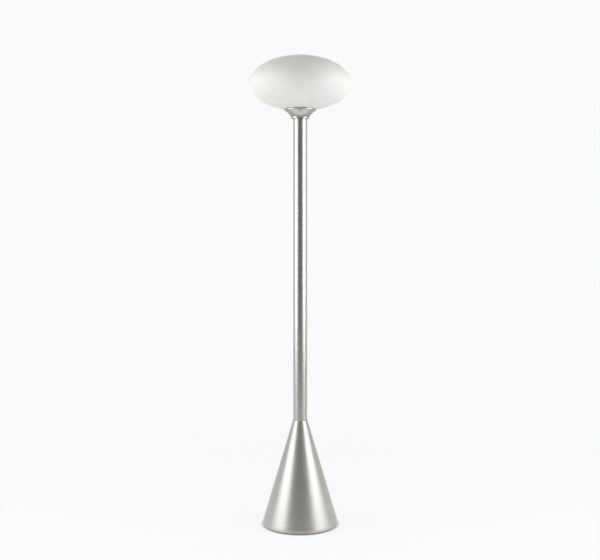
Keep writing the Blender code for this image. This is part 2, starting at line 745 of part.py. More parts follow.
# ---- the bulb -----------------------------------------------------------------------------------


def make_bulb(glass, clear_glass, nickel, black_glass, solder, tungsten):
    """A pear-shaped screw-cap bulb. A round crown runs by a tangent cone into the neck."""
    centre = BULB_TOP - BULB_RADIUS
    neck = CAP_RADIUS - SHEET - 2 * FIT
    neck_top = CAP_TOP + 0.006
    in_cap = CAP_TOP - 0.003

    def pear(radius, neck_width, steps):
        drop = centre - neck_top
        tangent = math.atan2(drop, neck_width) - math.acos(radius / math.hypot(neck_width, drop))
        crown = arc((0, centre), radius, 90, -math.degrees(tangent), steps)
        return [(0, centre + radius), *crown[1:], (neck_width, neck_top), (neck_width, in_cap)]

    steps = 9
    outside = pear(BULB_RADIUS, neck, steps)
    inside = pear(BULB_RADIUS - BULB_GLASS, neck - BULB_GLASS, steps)
    turned("bulb_envelope", [*outside, *reversed(inside)], glass, SMALL + 8)

    rounding = 0.0015
    cap_outline = [
        (CAP_RADIUS, CAP_TOP),
        (CAP_RADIUS - SHEET, CAP_TOP),
        (CAP_RADIUS - SHEET, CAP_BOTTOM + rounding),
        (CAP_END, CAP_BOTTOM + SHEET),
        (CAP_END, CAP_BOTTOM),
        (CAP_RADIUS - SHEET, CAP_BOTTOM + rounding / 2),
        (CAP_RADIUS, CAP_BOTTOM + rounding),
    ]
    turned("bulb_cap", cap_outline, nickel, SMALL)
    contact_radius = 0.0045
    contact_rounding = 0.001
    contact_top = BULB_BOTTOM + 0.0029
    insulator_bottom = contact_top - 0.0012
    insulator_outline = [
        (contact_radius + FIT, insulator_bottom),
        (contact_radius + 2 * contact_rounding, insulator_bottom),
        (CAP_END - GAP, CAP_BOTTOM - GAP),
        (contact_radius + FIT, CAP_BOTTOM - GAP),
    ]
    turned("bulb_insulator", insulator_outline, black_glass, SMALL)
    contact_outline = [
        (0, BULB_BOTTOM),
        (contact_radius - contact_rounding, BULB_BOTTOM),
        (contact_radius, BULB_BOTTOM + contact_rounding),
        (contact_radius, contact_top),
        (0, contact_top),
    ]
    turned("bulb_contact", contact_outline, solder, SMALL)

    stem_top = CAP_TOP + 0.030
    stem_radius = 0.003
    skirt_radius = neck - BULB_GLASS - FIT
    skirt_top = CAP_TOP + 0.001
    stem_outline = [
        (0, stem_top),
        (stem_radius, stem_top - 0.002),
        (stem_radius, CAP_TOP + 0.010),
        (skirt_radius, skirt_top),
        (skirt_radius, skirt_top - 0.0015),
        (0, skirt_top + 0.001),
    ]
    turned("bulb_stem", stem_outline, clear_glass, SMALL)
    spread = 0.014
    arch = [
        Vector((-0.0045, 0, stem_top - 0.001)),
        Vector((-spread, 0, stem_top + 0.016)),
        Vector((-spread * 0.5, 0, stem_top + 0.0195)),
        Vector((spread * 0.5, 0, stem_top + 0.0195)),
        Vector((spread, 0, stem_top + 0.016)),
        Vector((0.0045, 0, stem_top - 0.001)),
    ]
    wire("bulb_filament", smooth_route(arch, 3), 0.0004, tungsten)


# ---- the leads ----------------------------------------------------------------------------------


def make_leads(brown, blue, green, brass):
    """Live and neutral run from the block, under the rod and up its bore to the lampholder. Earth
    runs to a tag on the weight."""
    half = BLOCK_SIZE / 2
    in_block = BLOCK_CENTRE_Y - half.y + 0.0025
    block_front = BLOCK_CENTRE_Y - half.y
    way_height = BLOCK_TOP - half.z
    under_rod = ROD_BOTTOM - 0.0065
    terminal_height = INSERT_BOTTOM - GAP - 0.0028
    for name, side, way, material in (("live_lead", -1, -1, brown), ("neutral_lead", 1, 0, blue)):
        x = way * WAY_PITCH
        in_rod = 0.0014 * side
        low_route = [
            Vector((x, in_block, way_height)),
            Vector((x, block_front - 0.002, way_height)),
            Vector((x * 0.75 + in_rod * 0.5, block_front - 0.012, way_height - 0.002)),
            Vector((in_rod * 2.2, 0.014, under_rod + 0.001)),
            Vector((in_rod * 1.2, 0.0045, under_rod + 0.0005)),
            Vector((in_rod, 0.0006, ROD_BOTTOM - 0.002)),
            Vector((in_rod, 0.0, ROD_BOTTOM + 0.004)),
        ]
        high_route = [
            Vector((in_rod, 0.0, ROD_TOP - 0.004)),
            Vector((in_rod * 1.1, 0.0, ROD_TOP - 0.0005)),
            Vector((side * 0.0042, 0.0, terminal_height - 0.0012)),
            Vector((side * (TERMINAL_NEAR - 2 * GAP), 0.0, terminal_height)),
        ]
        wire(name, smooth_route(low_route, 3) + smooth_route(high_route, 3), LEAD_RADIUS, material)

    tag_top = NUT_WELL_TOP - GAP
    tag_thickness = 0.0008
    head_radius = 0.0032
    tag_hole = EARTH_SCREW_RADIUS + FIT
    tag = ring("earth_tag", tag_hole, TAG_RADIUS, tag_top - tag_thickness, tag_top, brass, TINY)
    tag.location = (*EARTH_PLACE, 0)
    head_base = (*EARTH_PLACE, tag_top - tag_thickness - GAP)
    screw("earth_screw", head_base, (0, 0, 1), EARTH_SCREW_LENGTH, head_radius, EARTH_SCREW_RADIUS, brass)
    beside_tag = TAG_RADIUS + LEAD_RADIUS + 2 * GAP
    tail_height = tag_top - LEAD_RADIUS - GAP
    tail = Vector((EARTH_PLACE[0], EARTH_PLACE[1] + beside_tag, tail_height))
    earth_route = [
        Vector((WAY_PITCH, in_block, way_height)),
        Vector((WAY_PITCH, block_front - 0.002, way_height)),
        Vector((WAY_PITCH + 0.001, block_front - 0.014, way_height)),
        Vector((tail.x + 0.0005, 0.004, way_height + 0.001)),
        tail,
    ]
    wire("earth_lead", smooth_route(earth_route, 4), LEAD_RADIUS, green)


# ---- the lamp -----------------------------------------------------------------------------------


def hang_on_joint(empty_name, names, height):
    """Puts moving pieces under an empty on their joint's axis, without moving them."""
    pivot = bpy.data.objects.new(empty_name, None)
    bpy.context.scene.collection.objects.link(pivot)
    pivot.location = (0, 0, height)
    for name in names:
        piece = bpy.data.objects[name]
        piece.parent = pivot
        piece.matrix_parent_inverse = Matrix.Translation((0, 0, -height))


def main():
    clear_scene()
    aluminium = finish("brushed aluminium", (0.62, 0.61, 0.60), 0.32, 1.0)
    steel = finish("zinc-plated steel", (0.55, 0.56, 0.58), 0.4, 1.0)
    iron = finish("cast iron", (0.06, 0.06, 0.065), 0.75, 1.0)
    rubber = finish("black rubber", (0.02, 0.02, 0.02), 0.8, 0.0)
    nylon = finish("natural nylon", (0.80, 0.79, 0.74), 0.5, 0.0)
    porcelain = finish("glazed porcelain", (0.85, 0.84, 0.80), 0.2, 0.0)
    plastic = finish("white thermoplastic", (0.82, 0.81, 0.78), 0.4, 0.0)
    brass = finish("brass", (0.78, 0.57, 0.26), 0.3, 1.0)
    nickel = finish("nickel-plated brass", (0.70, 0.68, 0.62), 0.25, 1.0)
    solder = finish("solder", (0.55, 0.55, 0.56), 0.45, 1.0)
    tungsten = finish("tungsten", (0.30, 0.30, 0.31), 0.5, 1.0)
    satin_glass = finish("satin opal glass", (0.84, 0.84, 0.83), 0.5, 0.0)
    bulb_glass = finish("pearl bulb glass", (0.88, 0.88, 0.86), 0.4, 0.0)
    clear_glass = finish("clear glass", (0.9, 0.9, 0.9), 0.05, 0.0, alpha=0.35)
    black_glass = finish("black insulating glass", (0.02, 0.02, 0.02), 0.2, 0.0)

    make_cone(aluminium)
    make_grommet(rubber)
    make_floor_pieces(steel, rubber)
    make_weight(iron)
    make_terminal_block(nylon, brass)
    make_clamping_pieces(steel)
    make_stem(aluminium, nylon)
    make_plug(steel)
    make_holder(aluminium)
    make_gallery(steel, rubber)
    make_globe(satin_glass)
    make_lampholder(plastic, porcelain, brass, steel)
    make_bulb(bulb_glass, clear_glass, nickel, black_glass, solder, tungsten)
    make_leads(
        finish("brown insulation", (0.20, 0.08, 0.03), 0.5, 0.0),
        finish("blue insulation", (0.03, 0.12, 0.45), 0.5, 0.0),
        finish("green and yellow insulation", (0.15, 0.45, 0.08), 0.5, 0.0),
        brass,
    )
    hang_on_joint("globe_lift", ["globe"], NECK_BOTTOM)
    bulb = [thing.name for thing in bpy.data.objects if thing.name.startswith("bulb_")]
    hang_on_joint("bulb_unscrew", bulb, BULB_BOTTOM)


main()
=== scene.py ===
# %% [markdown]
# # A floor lamp with a frosted glass globe
#
# The lamp is almost all turned work: a spun aluminium cone, a straight tube, a flared holder with a
# rolled rim, and a flattened globe of satin opal glass. Each piece is made at its real size, in metres,
# in the place that the fixed frame gives, and rides on the body that it belongs to.

# %% The fixed frame
import math

import bmesh
import bpy
from mathutils import Matrix, Vector


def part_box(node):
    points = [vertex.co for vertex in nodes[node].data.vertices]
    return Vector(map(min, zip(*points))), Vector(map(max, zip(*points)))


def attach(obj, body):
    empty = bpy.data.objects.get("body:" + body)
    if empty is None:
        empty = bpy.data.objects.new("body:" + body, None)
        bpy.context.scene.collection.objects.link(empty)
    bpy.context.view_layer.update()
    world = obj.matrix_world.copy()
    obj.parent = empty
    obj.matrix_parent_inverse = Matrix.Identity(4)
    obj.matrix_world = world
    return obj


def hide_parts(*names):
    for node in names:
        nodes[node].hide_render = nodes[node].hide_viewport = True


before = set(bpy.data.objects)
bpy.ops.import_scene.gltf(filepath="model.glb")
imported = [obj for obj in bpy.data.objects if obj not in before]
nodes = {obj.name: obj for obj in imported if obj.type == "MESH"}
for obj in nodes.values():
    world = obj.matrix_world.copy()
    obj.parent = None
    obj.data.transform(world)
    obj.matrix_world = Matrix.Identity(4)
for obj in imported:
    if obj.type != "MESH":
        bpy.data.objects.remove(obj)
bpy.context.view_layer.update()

print(len(nodes), "nodes in the frame")

# %% [markdown]
# ## Places
#
# Every height and radius is read from the frame, so that each finished piece lies where the plain one
# did. The pieces are turned about one upright axis, so the box of a node gives its largest radius, its
# foot and its top.

# %% Radii and heights from the frame
MM = 0.001
FIT = 0.3 * MM  # left between two pieces that go together
ROD_HOLE = 5.3 * MM  # radius of the hole that the tie rod passes through


def radius_of(name):
    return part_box(name)[1].x


def foot_of(name):
    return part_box(name)[0].z


def top_of(name):
    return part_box(name)[1].z


def sizes_of(name):
    """A turned node's largest radius, its foot and its top."""
    return radius_of(name), foot_of(name), top_of(name)


base_radius = radius_of("base_cone")
tube_radius = radius_of("stem_tube")
globe_radius = radius_of("globe")
rim_radius = radius_of("glass_holder")
rim_top = top_of("glass_holder")
holder_foot = foot_of("glass_holder")
print("base", base_radius, "tube", tube_radius, "globe", globe_radius, "rim", rim_radius)

# %% [markdown]
# ## The camera and the studio
#
# The lamp stands on a pale floor in front of a pale backdrop, and is seen from the height of its upper
# half through a medium lens. A studio shows in brushed metal as upright bands, so the lights decide
# how the lamp looks: two tall soft boxes stand at its sides and the viewer's side is a dim room.

# %% The camera
CAMERA_DISTANCE = 2.846
CAMERA_HEIGHT = 0.898
CAMERA_SIDE = -0.0007
CAMERA_TILT = 3.0  # degrees below level
LENS = 56.4  # mm, on a 36 mm sensor

camera_data = bpy.data.cameras.new("camera")
camera_data.lens = LENS
camera_data.sensor_width = 36.0
camera = bpy.data.objects.new("camera", camera_data)
camera.location = (CAMERA_SIDE, -CAMERA_DISTANCE, CAMERA_HEIGHT)
camera.rotation_euler = (math.radians(90 - CAMERA_TILT), 0, 0)
bpy.context.scene.collection.objects.link(camera)
bpy.context.scene.camera = camera
print("camera", tuple(camera.location))

# %% [markdown]
# Colours are written as sRGB hex values, as a paint chart gives them, and one function turns them to
# the linear values that shaders work in. A second one adds a node with its settings and its links.
# The picture is shown without a film curve, so that a white backdrop stays white.

# %% Colours and nodes
def colour(hex_value):
    """Linear RGBA of an sRGB hex colour."""
    channels = [int(hex_value[place : place + 2], 16) / 255 for place in (1, 3, 5)]
    linear = [c / 12.92 if c <= 0.04045 else ((c + 0.055) / 1.055) ** 2.4 for c in channels]
    return (*linear, 1.0)


def add(tree, kind, inputs=None, **settings):
    """Adds a node. Each input is given a value, or another node's output to be linked to."""
    made = tree.nodes.new(kind)
    for name, value in settings.items():
        setattr(made, name, value)
    for name, value in (inputs or {}).items():
        if isinstance(value, bpy.types.NodeSocket):
            tree.links.new(value, made.inputs[name])
        else:
            made.inputs[name].default_value = value
    return made


bpy.context.scene.view_settings.view_transform = "Standard"
print("white is", colour("#FFFFFF"))

# %% [markdown]
# The backdrop is a plain bluish white where it is looked at. What the metal and the glass reflect is
# the room: a pale wall behind the lamp, brightest at the horizon, a dimmer one behind the viewer, and a
# dim ceiling.

# %% The room
BACKDROP = "#F9FAFB"
WALL_BEHIND = 0.86
ROOM_BEFORE = 0.16
CEILING = 0.62
FALL_OFF = 0.7  # of the brightness is left well above and below the horizon

world = bpy.data.worlds.new("studio")
bpy.context.scene.world = world
world.use_nodes = True
room = world.node_tree
room.nodes.clear()
direction = add(room, "ShaderNodeTexCoord").outputs["Generated"]
along = add(room, "ShaderNodeSeparateXYZ", {0: direction})
depth = add(
    room,
    "ShaderNodeMapRange",
    {"Value": along.outputs["Y"], "From Min": -0.35, "From Max": 0.7,
     "To Min": ROOM_BEFORE, "To Max": WALL_BEHIND},
    interpolation_type="SMOOTHSTEP",
)
from_level = add(room, "ShaderNodeMath", {0: along.outputs["Z"], 1: 0.06}, operation="SUBTRACT")
either_way = add(room, "ShaderNodeMath", {0: from_level.outputs[0]}, operation="ABSOLUTE")
horizon = add(
    room,
    "ShaderNodeMapRange",
    {"Value": either_way.outputs[0], "From Min": 0.05, "From Max": 0.28, "To Min": 1.0, "To Max": FALL_OFF},
    interpolation_type="SMOOTHSTEP",
)
walls = add(room, "ShaderNodeMath", {0: depth.outputs[0], 1: horizon.outputs[0]}, operation="MULTIPLY")
height = add(
    room,
    "ShaderNodeMapRange",
    {"Value": along.outputs["Z"], "From Min": 0.55, "From Max": 0.95},
    interpolation_type="SMOOTHSTEP",
)
brightness = add(room, "ShaderNodeMix", {0: height.outputs[0], 2: walls.outputs[0], 3: CEILING})
reflected = add(room, "ShaderNodeBackground", {"Color": colour("#FFFCF6"), "Strength": brightness.outputs[0]})
seen = add(room, "ShaderNodeBackground", {"Color": colour(BACKDROP), "Strength": 1.0})
looked_at = add(room, "ShaderNodeLightPath").outputs["Is Camera Ray"]
shown = add(room, "ShaderNodeMixShader", {0: looked_at, 1: reflected.outputs[0], 2: seen.outputs[0]})
add(room, "ShaderNodeOutputWorld", {"Surface": shown.outputs[0]})
print("world", world.name)

# %% [markdown]
# The soft boxes are tall. They are aimed at the lamp's axis from both sides, a little in front of it,
# and end above the floor, so that their reflection fades towards the foot of the tube. A third, softer
# one stands low in front and is aimed up at the globe, as a white floor throws light up at it. It is
# flagged off the metal, so that the bands stay clean.

# %% The soft boxes
BOX_DISTANCE = 1.7
BOX_SIDEWAYS = 70  # degrees from the viewer's direction
BOX_WIDTH = 1.4
BOX_BOTTOM = 0.3
BOX_TOP = 2.4
BOX_POWER = 29.0


def soft_box(name, width, height, power, place, turned_by):
    """A rectangular area light, seen by no camera."""
    data = bpy.data.lights.new(name, "AREA")
    data.shape = "RECTANGLE"
    data.size = width
    data.size_y = height
    data.energy = power
    light = bpy.data.objects.new(name, data)
    light.location = place
    light.rotation_euler = turned_by
    light.visible_camera = False
    bpy.context.scene.collection.objects.link(light)
    return light


for side, degrees in (("left", -BOX_SIDEWAYS), ("right", BOX_SIDEWAYS)):
    turn = math.radians(degrees)
    place = (BOX_DISTANCE * math.sin(turn), -BOX_DISTANCE * math.cos(turn), (BOX_BOTTOM + BOX_TOP) / 2)
    upright = (math.radians(90), 0, turn)
    soft_box("soft_box_" + side, BOX_WIDTH, BOX_TOP - BOX_BOTTOM, BOX_POWER, place, upright)

FILL_DISTANCE = 2.4
FILL_DROP = 30  # degrees below level, seen from the globe
FILL_SIZE = 2.0
FILL_POWER = 19.0

drop = math.radians(FILL_DROP)
fill_height = (foot_of("globe") + top_of("globe")) / 2 - FILL_DISTANCE * math.sin(drop)
fill_place = (0, -FILL_DISTANCE * math.cos(drop), fill_height)
fill = soft_box("low_fill", FILL_SIZE, FILL_SIZE, FILL_POWER, fill_place, (math.radians(90) + drop, 0, 0))
fill.visible_glossy = False
print([light.name for light in bpy.data.lights])

# %% [markdown]
# The floor is lit so evenly that it has no edge: it glows at the backdrop's own level, and only a part
# of it is a matt white that takes the lamp's shadow. Its glow also carries a painted contact shade: an
# occlusion test darkens it where something stands within a few millimetres above it. It turns clear far
# from the lamp, and it has no underside, so that the lamp can be looked at from below.

# %% The floor
FLOOR_RADIUS = 2.0
FLOOR_CLEAR_FROM = 0.5
FLOOR_MATT = 0.10  # share of the floor's brightness that a shadow can take away
# reach of the painted contact shade that darkens the floor's glow under the base
CONTACT_SHADE = 0.012  # the floor goes dark under what stands this close to it


def as_object(name, shape):
    """Writes a shape into a mesh of its own, on an object in the scene."""
    mesh = bpy.data.meshes.new(name)
    shape.to_mesh(mesh)
    shape.free()
    thing = bpy.data.objects.new(name, mesh)
    bpy.context.scene.collection.objects.link(thing)
    return thing


disc = bmesh.new()
bmesh.ops.create_circle(disc, cap_ends=True, segments=96, radius=FLOOR_RADIUS)
floor = as_object("floor", disc)

floor_paint = bpy.data.materials.new("matt white studio floor")
floor_paint.use_nodes = True
tree = floor_paint.node_tree
tree.nodes.clear()
spot = add(tree, "ShaderNodeTexCoord").outputs["Object"]
from_lamp = add(tree, "ShaderNodeVectorMath", {0: spot}, operation="LENGTH")
clear = add(
    tree,
    "ShaderNodeMapRange",
    {"Value": from_lamp.outputs["Value"], "From Min": FLOOR_CLEAR_FROM, "From Max": FLOOR_RADIUS},
    interpolation_type="SMOOTHSTEP",
)
# painted contact shade: ambient occlusion darkens the floor's glow under what stands close above it
painted_contact_shade = add(tree, "ShaderNodeAmbientOcclusion", {"Color": colour(BACKDROP), "Distance": CONTACT_SHADE})
glow = add(tree, "ShaderNodeEmission", {"Color": painted_contact_shade.outputs["Color"], "Strength": 1 - FLOOR_MATT})
matt = add(tree, "ShaderNodeBsdfDiffuse", {"Color": (0.1, 0.1, 0.102, 1)})
lit = add(tree, "ShaderNodeAddShader", {0: glow.outputs[0], 1: matt.outputs[0]})
open_air = add(tree, "ShaderNodeBsdfTransparent")
from_below = add(tree, "ShaderNodeNewGeometry").outputs["Backfacing"]
unseen = add(tree, "ShaderNodeMath", {0: clear.outputs[0], 1: from_below}, operation="MAXIMUM")
faded = add(tree, "ShaderNodeMixShader", {0: unseen.outputs[0], 1: lit.outputs[0], 2: open_air.outputs[0]})
add(tree, "ShaderNodeOutputMaterial", {"Surface": faded.outputs[0]})
floor.data.materials.append(floor_paint)
print("floor out to", FLOOR_RADIUS, "m")

# %% [markdown]
# ## Finishes
#
# The cone, the tube and the holder are aluminium: spun or drawn, brushed while they turn, and then
# lacquered. Brushing leaves fine rings, which blur a reflection up and down far more than sideways.
# The shader's anisotropy does that blurring, and a noise stretched round the axis draws the rings.
# The real rings are a few hundredths of a millimetre apart, so they are drawn coarser, at about a
# millimetre, to show at all.

# %% A metal brushed round the axis
def new_material(name):
    """An empty node material with its shader and its Object coordinates."""
    made = bpy.data.materials.new(name)
    made.use_nodes = True
    shader = made.node_tree.nodes["Principled BSDF"]
    place = add(made.node_tree, "ShaderNodeTexCoord").outputs["Object"]
    return made, made.node_tree, shader, place


def set_all(shader, **values):
    """Sets constants on a shader's own sockets. An underscore stands for a space."""
    for name, value in values.items():
        shader.inputs[name.replace("_", " ")].default_value = value


def drift(tree, shader, noise, dark, light, low=0.3, high=0.7):
    """Lets the colour drift between two tones as a noise goes from low to high."""
    tone = add(tree, "ShaderNodeMapRange", {"Value": noise, "From Min": low, "From Max": high})
    tones = {0: tone.outputs[0], 6: colour(dark), 7: colour(light)}
    mixed = add(tree, "ShaderNodeMix", tones, data_type="RGBA")
    tree.links.new(mixed.outputs[2], shader.inputs["Base Color"])


def brushed_metal(name, light, dark, roughness, ring_mm, anisotropy=0.7):
    """Brushed round an upright axis. The pattern follows height closely and the turn hardly at all."""
    made, tree, shader, place = new_material(name)
    part = add(tree, "ShaderNodeSeparateXYZ", {0: place})
    turn = add(tree, "ShaderNodeMath", {0: part.outputs["Y"], 1: part.outputs["X"]}, operation="ARCTAN2")
    reach = add(tree, "ShaderNodeVectorMath", {0: place}, operation="LENGTH")
    rolled_out = {"X": turn.outputs[0], "Y": reach.outputs["Value"], "Z": part.outputs["Z"]}
    flat = add(tree, "ShaderNodeCombineXYZ", rolled_out)
    per_ring = 1 / (ring_mm * MM)
    stretch = (1.5, per_ring, per_ring)
    stretched = add(tree, "ShaderNodeMapping", {"Vector": flat.outputs[0], "Scale": stretch})
    rings = add(tree, "ShaderNodeTexNoise", {"Vector": stretched.outputs[0], "Scale": 1.0, "Detail": 3.0})
    clouds = add(tree, "ShaderNodeTexNoise", {"Vector": place, "Scale": 9.0, "Detail": 4.0})
    drift(tree, shader, rings.outputs["Fac"], dark, light)
    polish = add(
        tree,
        "ShaderNodeMapRange",
        {"Value": clouds.outputs["Fac"], "From Min": 0.3, "From Max": 0.7,
         "To Min": roughness - 0.012, "To Max": roughness + 0.018},
    )
    tree.links.new(polish.outputs[0], shader.inputs["Roughness"])
    scratches = {"Strength": 0.06, "Distance": 0.01 * MM, "Height": rings.outputs["Fac"]}
    bump = add(tree, "ShaderNodeBump", scratches)
    tree.links.new(bump.outputs[0], shader.inputs["Normal"])
    around = add(tree, "ShaderNodeTangent", direction_type="RADIAL", axis="Z")
    tree.links.new(around.outputs[0], shader.inputs["Tangent"])
    set_all(shader, Metallic=1.0, Anisotropic=anisotropy, Anisotropic_Rotation=0.25)
    return made


spun_aluminium = brushed_metal("spun and brushed aluminium", "#C9C8C6", "#C0BFBC", 0.45, 0.8, 0.55)
drawn_aluminium = brushed_metal("drawn and brushed aluminium", "#C9C8C6", "#C2C1BE", 0.40, 0.8, 0.35)
polished_aluminium = brushed_metal("spun and polished aluminium", "#CFCECC", "#C8C7C4", 0.26, 0.6, 0.3)
print(spun_aluminium.name, drawn_aluminium.name, polished_aluminium.name)

# %% [markdown]
# The globe is opal glass, blown in two layers and dipped in acid. The acid leaves a satin skin with no
# sharp reflection, and the opal under it scatters light through the wall, so the globe is bright even
# where no lamp lights it. Subsurface scattering gives that, with a fine grain in the skin.

# %% Satin opal glass
def satin_opal():
    made, tree, shader, place = new_material("acid-etched opal glass")
    grain = add(tree, "ShaderNodeTexNoise", {"Vector": place, "Scale": 1 / (0.8 * MM), "Detail": 2.0})
    stirred = {"Vector": place, "Scale": 14.0, "Detail": 3.0, "Distortion": 0.6}
    swirl = add(tree, "ShaderNodeTexNoise", stirred)
    drift(tree, shader, swirl.outputs["Fac"], "#E6E5E2", "#EAEAE8", 0.35, 0.65)
    etched = {"Strength": 0.15, "Distance": 0.02 * MM, "Height": grain.outputs["Fac"]}
    bump = add(tree, "ShaderNodeBump", etched)
    tree.links.new(bump.outputs[0], shader.inputs["Normal"])
    set_all(shader, Roughness=0.55, Subsurface_Weight=1.0, Subsurface_Scale=0.008, IOR=1.5)
    shader.inputs["Subsurface Radius"].default_value = (1.0, 1.0, 1.0)
    return made


opal_glass = satin_opal()
print(opal_glass.name)

# %% [markdown]
# The rest is out of sight or small: zinc-plated steel, cast iron, rubber, moulded plastics, porcelain,
# brass and the glass of the bulb. One function covers them. A noise at the size of the real grain
# varies the colour, the gloss and the surface, and the numbers say how much of each.

# %% Plain finishes
def plain(name, light, dark, roughness, metallic, grain_mm, relief_mm, spread=0.05, **more):
    """A finish whose colour, gloss and relief follow one noise of a real size."""
    made, tree, shader, place = new_material(name)
    grain = add(tree, "ShaderNodeTexNoise", {"Vector": place, "Scale": 1 / (grain_mm * MM), "Detail": 4.0})
    drift(tree, shader, grain.outputs["Fac"], dark, light)
    gloss = add(
        tree,
        "ShaderNodeMapRange",
        {"Value": grain.outputs["Fac"], "From Min": 0.3, "From Max": 0.7,
         "To Min": roughness - spread, "To Max": roughness + spread},
    )
    raised = {"Strength": 0.4, "Distance": relief_mm * MM, "Height": grain.outputs["Fac"]}
    bump = add(tree, "ShaderNodeBump", raised)
    tree.links.new(gloss.outputs[0], shader.inputs["Roughness"])
    tree.links.new(bump.outputs[0], shader.inputs["Normal"])
    set_all(shader, Metallic=metallic, **more)
    return made


zinc = plain("zinc-plated steel", "#C9CCD0", "#AEB3B9", 0.34, 1.0, 2.5, 0.01)
iron = plain("cast iron, black primed", "#2B2B2D", "#1D1D1F", 0.7, 0.0, 1.2, 0.15)
black_rubber = plain("moulded black rubber", "#1E1E1F", "#151516", 0.75, 0.0, 0.7, 0.03)
nylon = plain("natural moulded nylon", "#EAE7DC", "#DFDBCD", 0.45, 0.0, 3.0, 0.01)
white_plastic = plain("white thermoset plastic", "#EDEBE6", "#E4E2DC", 0.38, 0.0, 4.0, 0.01)
porcelain = plain("glazed porcelain", "#F1EFE8", "#E6E3DA", 0.15, 0.0, 6.0, 0.02, Coat_Weight=0.5)
brass = plain("turned brass", "#D9B26A", "#C39A52", 0.28, 1.0, 1.5, 0.01)
nickel = plain("nickel-plated brass", "#D6D2C8", "#C4C0B6", 0.24, 1.0, 2.0, 0.01)
solder = plain("tin solder", "#BFC1C4", "#A4A7AB", 0.4, 1.0, 1.0, 0.05)
tungsten = plain("tungsten wire", "#6B6B6E", "#57575A", 0.45, 1.0, 0.5, 0.005)
pearl = plain("etched bulb glass", "#F2F1EC", "#EBEAE4", 0.4, 0.0, 0.8, 0.01)
clear_glass = plain(
    "clear lead glass", "#F4F8F6", "#EEF4F1", 0.06, 0.0, 5.0, 0.01, 0.02, Transmission_Weight=1.0
)
black_glass = plain("black insulating glass", "#141414", "#0C0C0C", 0.12, 0.0, 3.0, 0.01)
brown_pvc = plain("brown lead insulation", "#6A3B22", "#5C321C", 0.4, 0.0, 1.0, 0.01)
blue_pvc = plain("blue lead insulation", "#2F63B4", "#2857A2", 0.4, 0.0, 1.0, 0.01)
earth_pvc = plain("green and yellow lead insulation", "#D8C321", "#2E8A3A", 0.4, 0.0, 4.0, 0.01)

print(len(bpy.data.materials), "materials")

# %% [markdown]
# ## Turning a piece
#
# A lathe is the natural tool for a lamp like this. The section of a piece is drawn as one flat face
# beside the axis, its corners are rounded with the bevel operator as a file would break them, and the
# outline is spun once round. The seam is merged, the normals are recalculated, and the piece is named,
# given its finish and put on its body.

# %% The lathe
SIDES = 160  # round the larger pieces


def round_corners(shape, corners):
    """Rounds the vertices of a flat section. corners maps a vertex to its radius."""
    for radius in sorted(set(corners.values())):
        chosen = [vertex for vertex, wanted in corners.items() if wanted == radius]
        bmesh.ops.bevel(
            shape, geom=chosen, offset=radius, affect="VERTICES", segments=5, profile=0.5, material=-1
        )


def spin_round(shape, drawn, sides):
    """Spins what was drawn beside the axis once round it."""
    bmesh.ops.spin(
        shape, geom=drawn, cent=(0, 0, 0), axis=(0, 0, 1), angle=math.tau, steps=sides, use_merge=True
    )
    clean(shape)
    return shape


def turned(outline, rounding=None, sides=SIDES):
    """A closed (radius, height) outline, its numbered corners rounded, spun into a ring."""
    shape = bmesh.new()
    points = [shape.verts.new((radius, 0, height)) for radius, height in outline]
    section = shape.faces.new(points)
    if rounding:
        round_corners(shape, {points[number]: radius for number, radius in rounding.items()})
        section = shape.faces[:][0]
    bmesh.ops.delete(shape, geom=[section], context="FACES_ONLY")
    return spin_round(shape, [*shape.verts, *shape.edges], sides)


def ring(outer, inner, bottom, top, broken, sides=SIDES):
    """A square-cut ring, its four edges broken by one radius."""
    outline = [(outer, bottom), (outer, top), (inner, top), (inner, bottom)]
    return turned(outline, {corner: broken for corner in range(4)}, sides)


def clean(shape):
    """Merges what lies together, drops what has no faces, and turns every face outwards."""
    bmesh.ops.remove_doubles(shape, verts=shape.verts, dist=0.002 * MM)
    bmesh.ops.dissolve_degenerate(shape, edges=shape.edges, dist=0.001 * MM)
    loose = [edge for edge in shape.edges if not edge.link_faces]
    bmesh.ops.delete(shape, geom=loose, context="EDGES")
    bmesh.ops.recalc_face_normals(shape, faces=shape.faces)


def finished(name, shape, finish, *replaced, body="stand", sharp=35):
    """Writes a shape into a new piece with its finish, its body and the nodes that it stands for."""
    piece = as_object(name, shape)
    mesh = piece.data
    mesh.shade_smooth()
    mesh.set_sharp_from_angle(angle=math.radians(sharp))
    mesh.materials.append(finish)
    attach(piece, body)
    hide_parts(*replaced)
    print(name, len(mesh.polygons), "faces")


# %% [markdown]
# A few more tools serve the rest. A shape is made on the axis and then put in place, with its own +Z
# turned to where it points. Holes and pockets are cut by a Boolean modifier, whose result is read back,
# so that no cutter stays in the scene. A thread is pressed into the walls that the lathe made, as it is
# rolled into real sheet: every point moves inwards by a wave that climbs one pitch in one turn.

# %% Placing, cutting and threading
def placed(shape, place, direction=(0, 0, 1)):
    """Points a shape's own +Z along a direction and moves its origin to a place."""
    turn = Vector(direction).to_track_quat("Z", "Y").to_matrix().to_4x4()
    bmesh.ops.transform(shape, matrix=Matrix.Translation(place) @ turn, verts=shape.verts)
    return shape


def drill(radius, start, end, sides=32):
    """A plain cylinder between two points."""
    along = Vector(end) - Vector(start)
    shape = bmesh.new()
    bmesh.ops.create_cone(
        shape, cap_ends=True, segments=sides, radius1=radius, radius2=radius, depth=along.length
    )
    return placed(shape, (Vector(start) + Vector(end)) / 2, along)


def slab(low, high):
    """A plain box between two corners."""
    shape = bmesh.new()
    size = Vector(high) - Vector(low)
    middle = Matrix.Translation((Vector(high) + Vector(low)) / 2)
    bmesh.ops.create_cube(shape, size=1, matrix=middle @ Matrix.Diagonal((*size, 1)))
    return shape


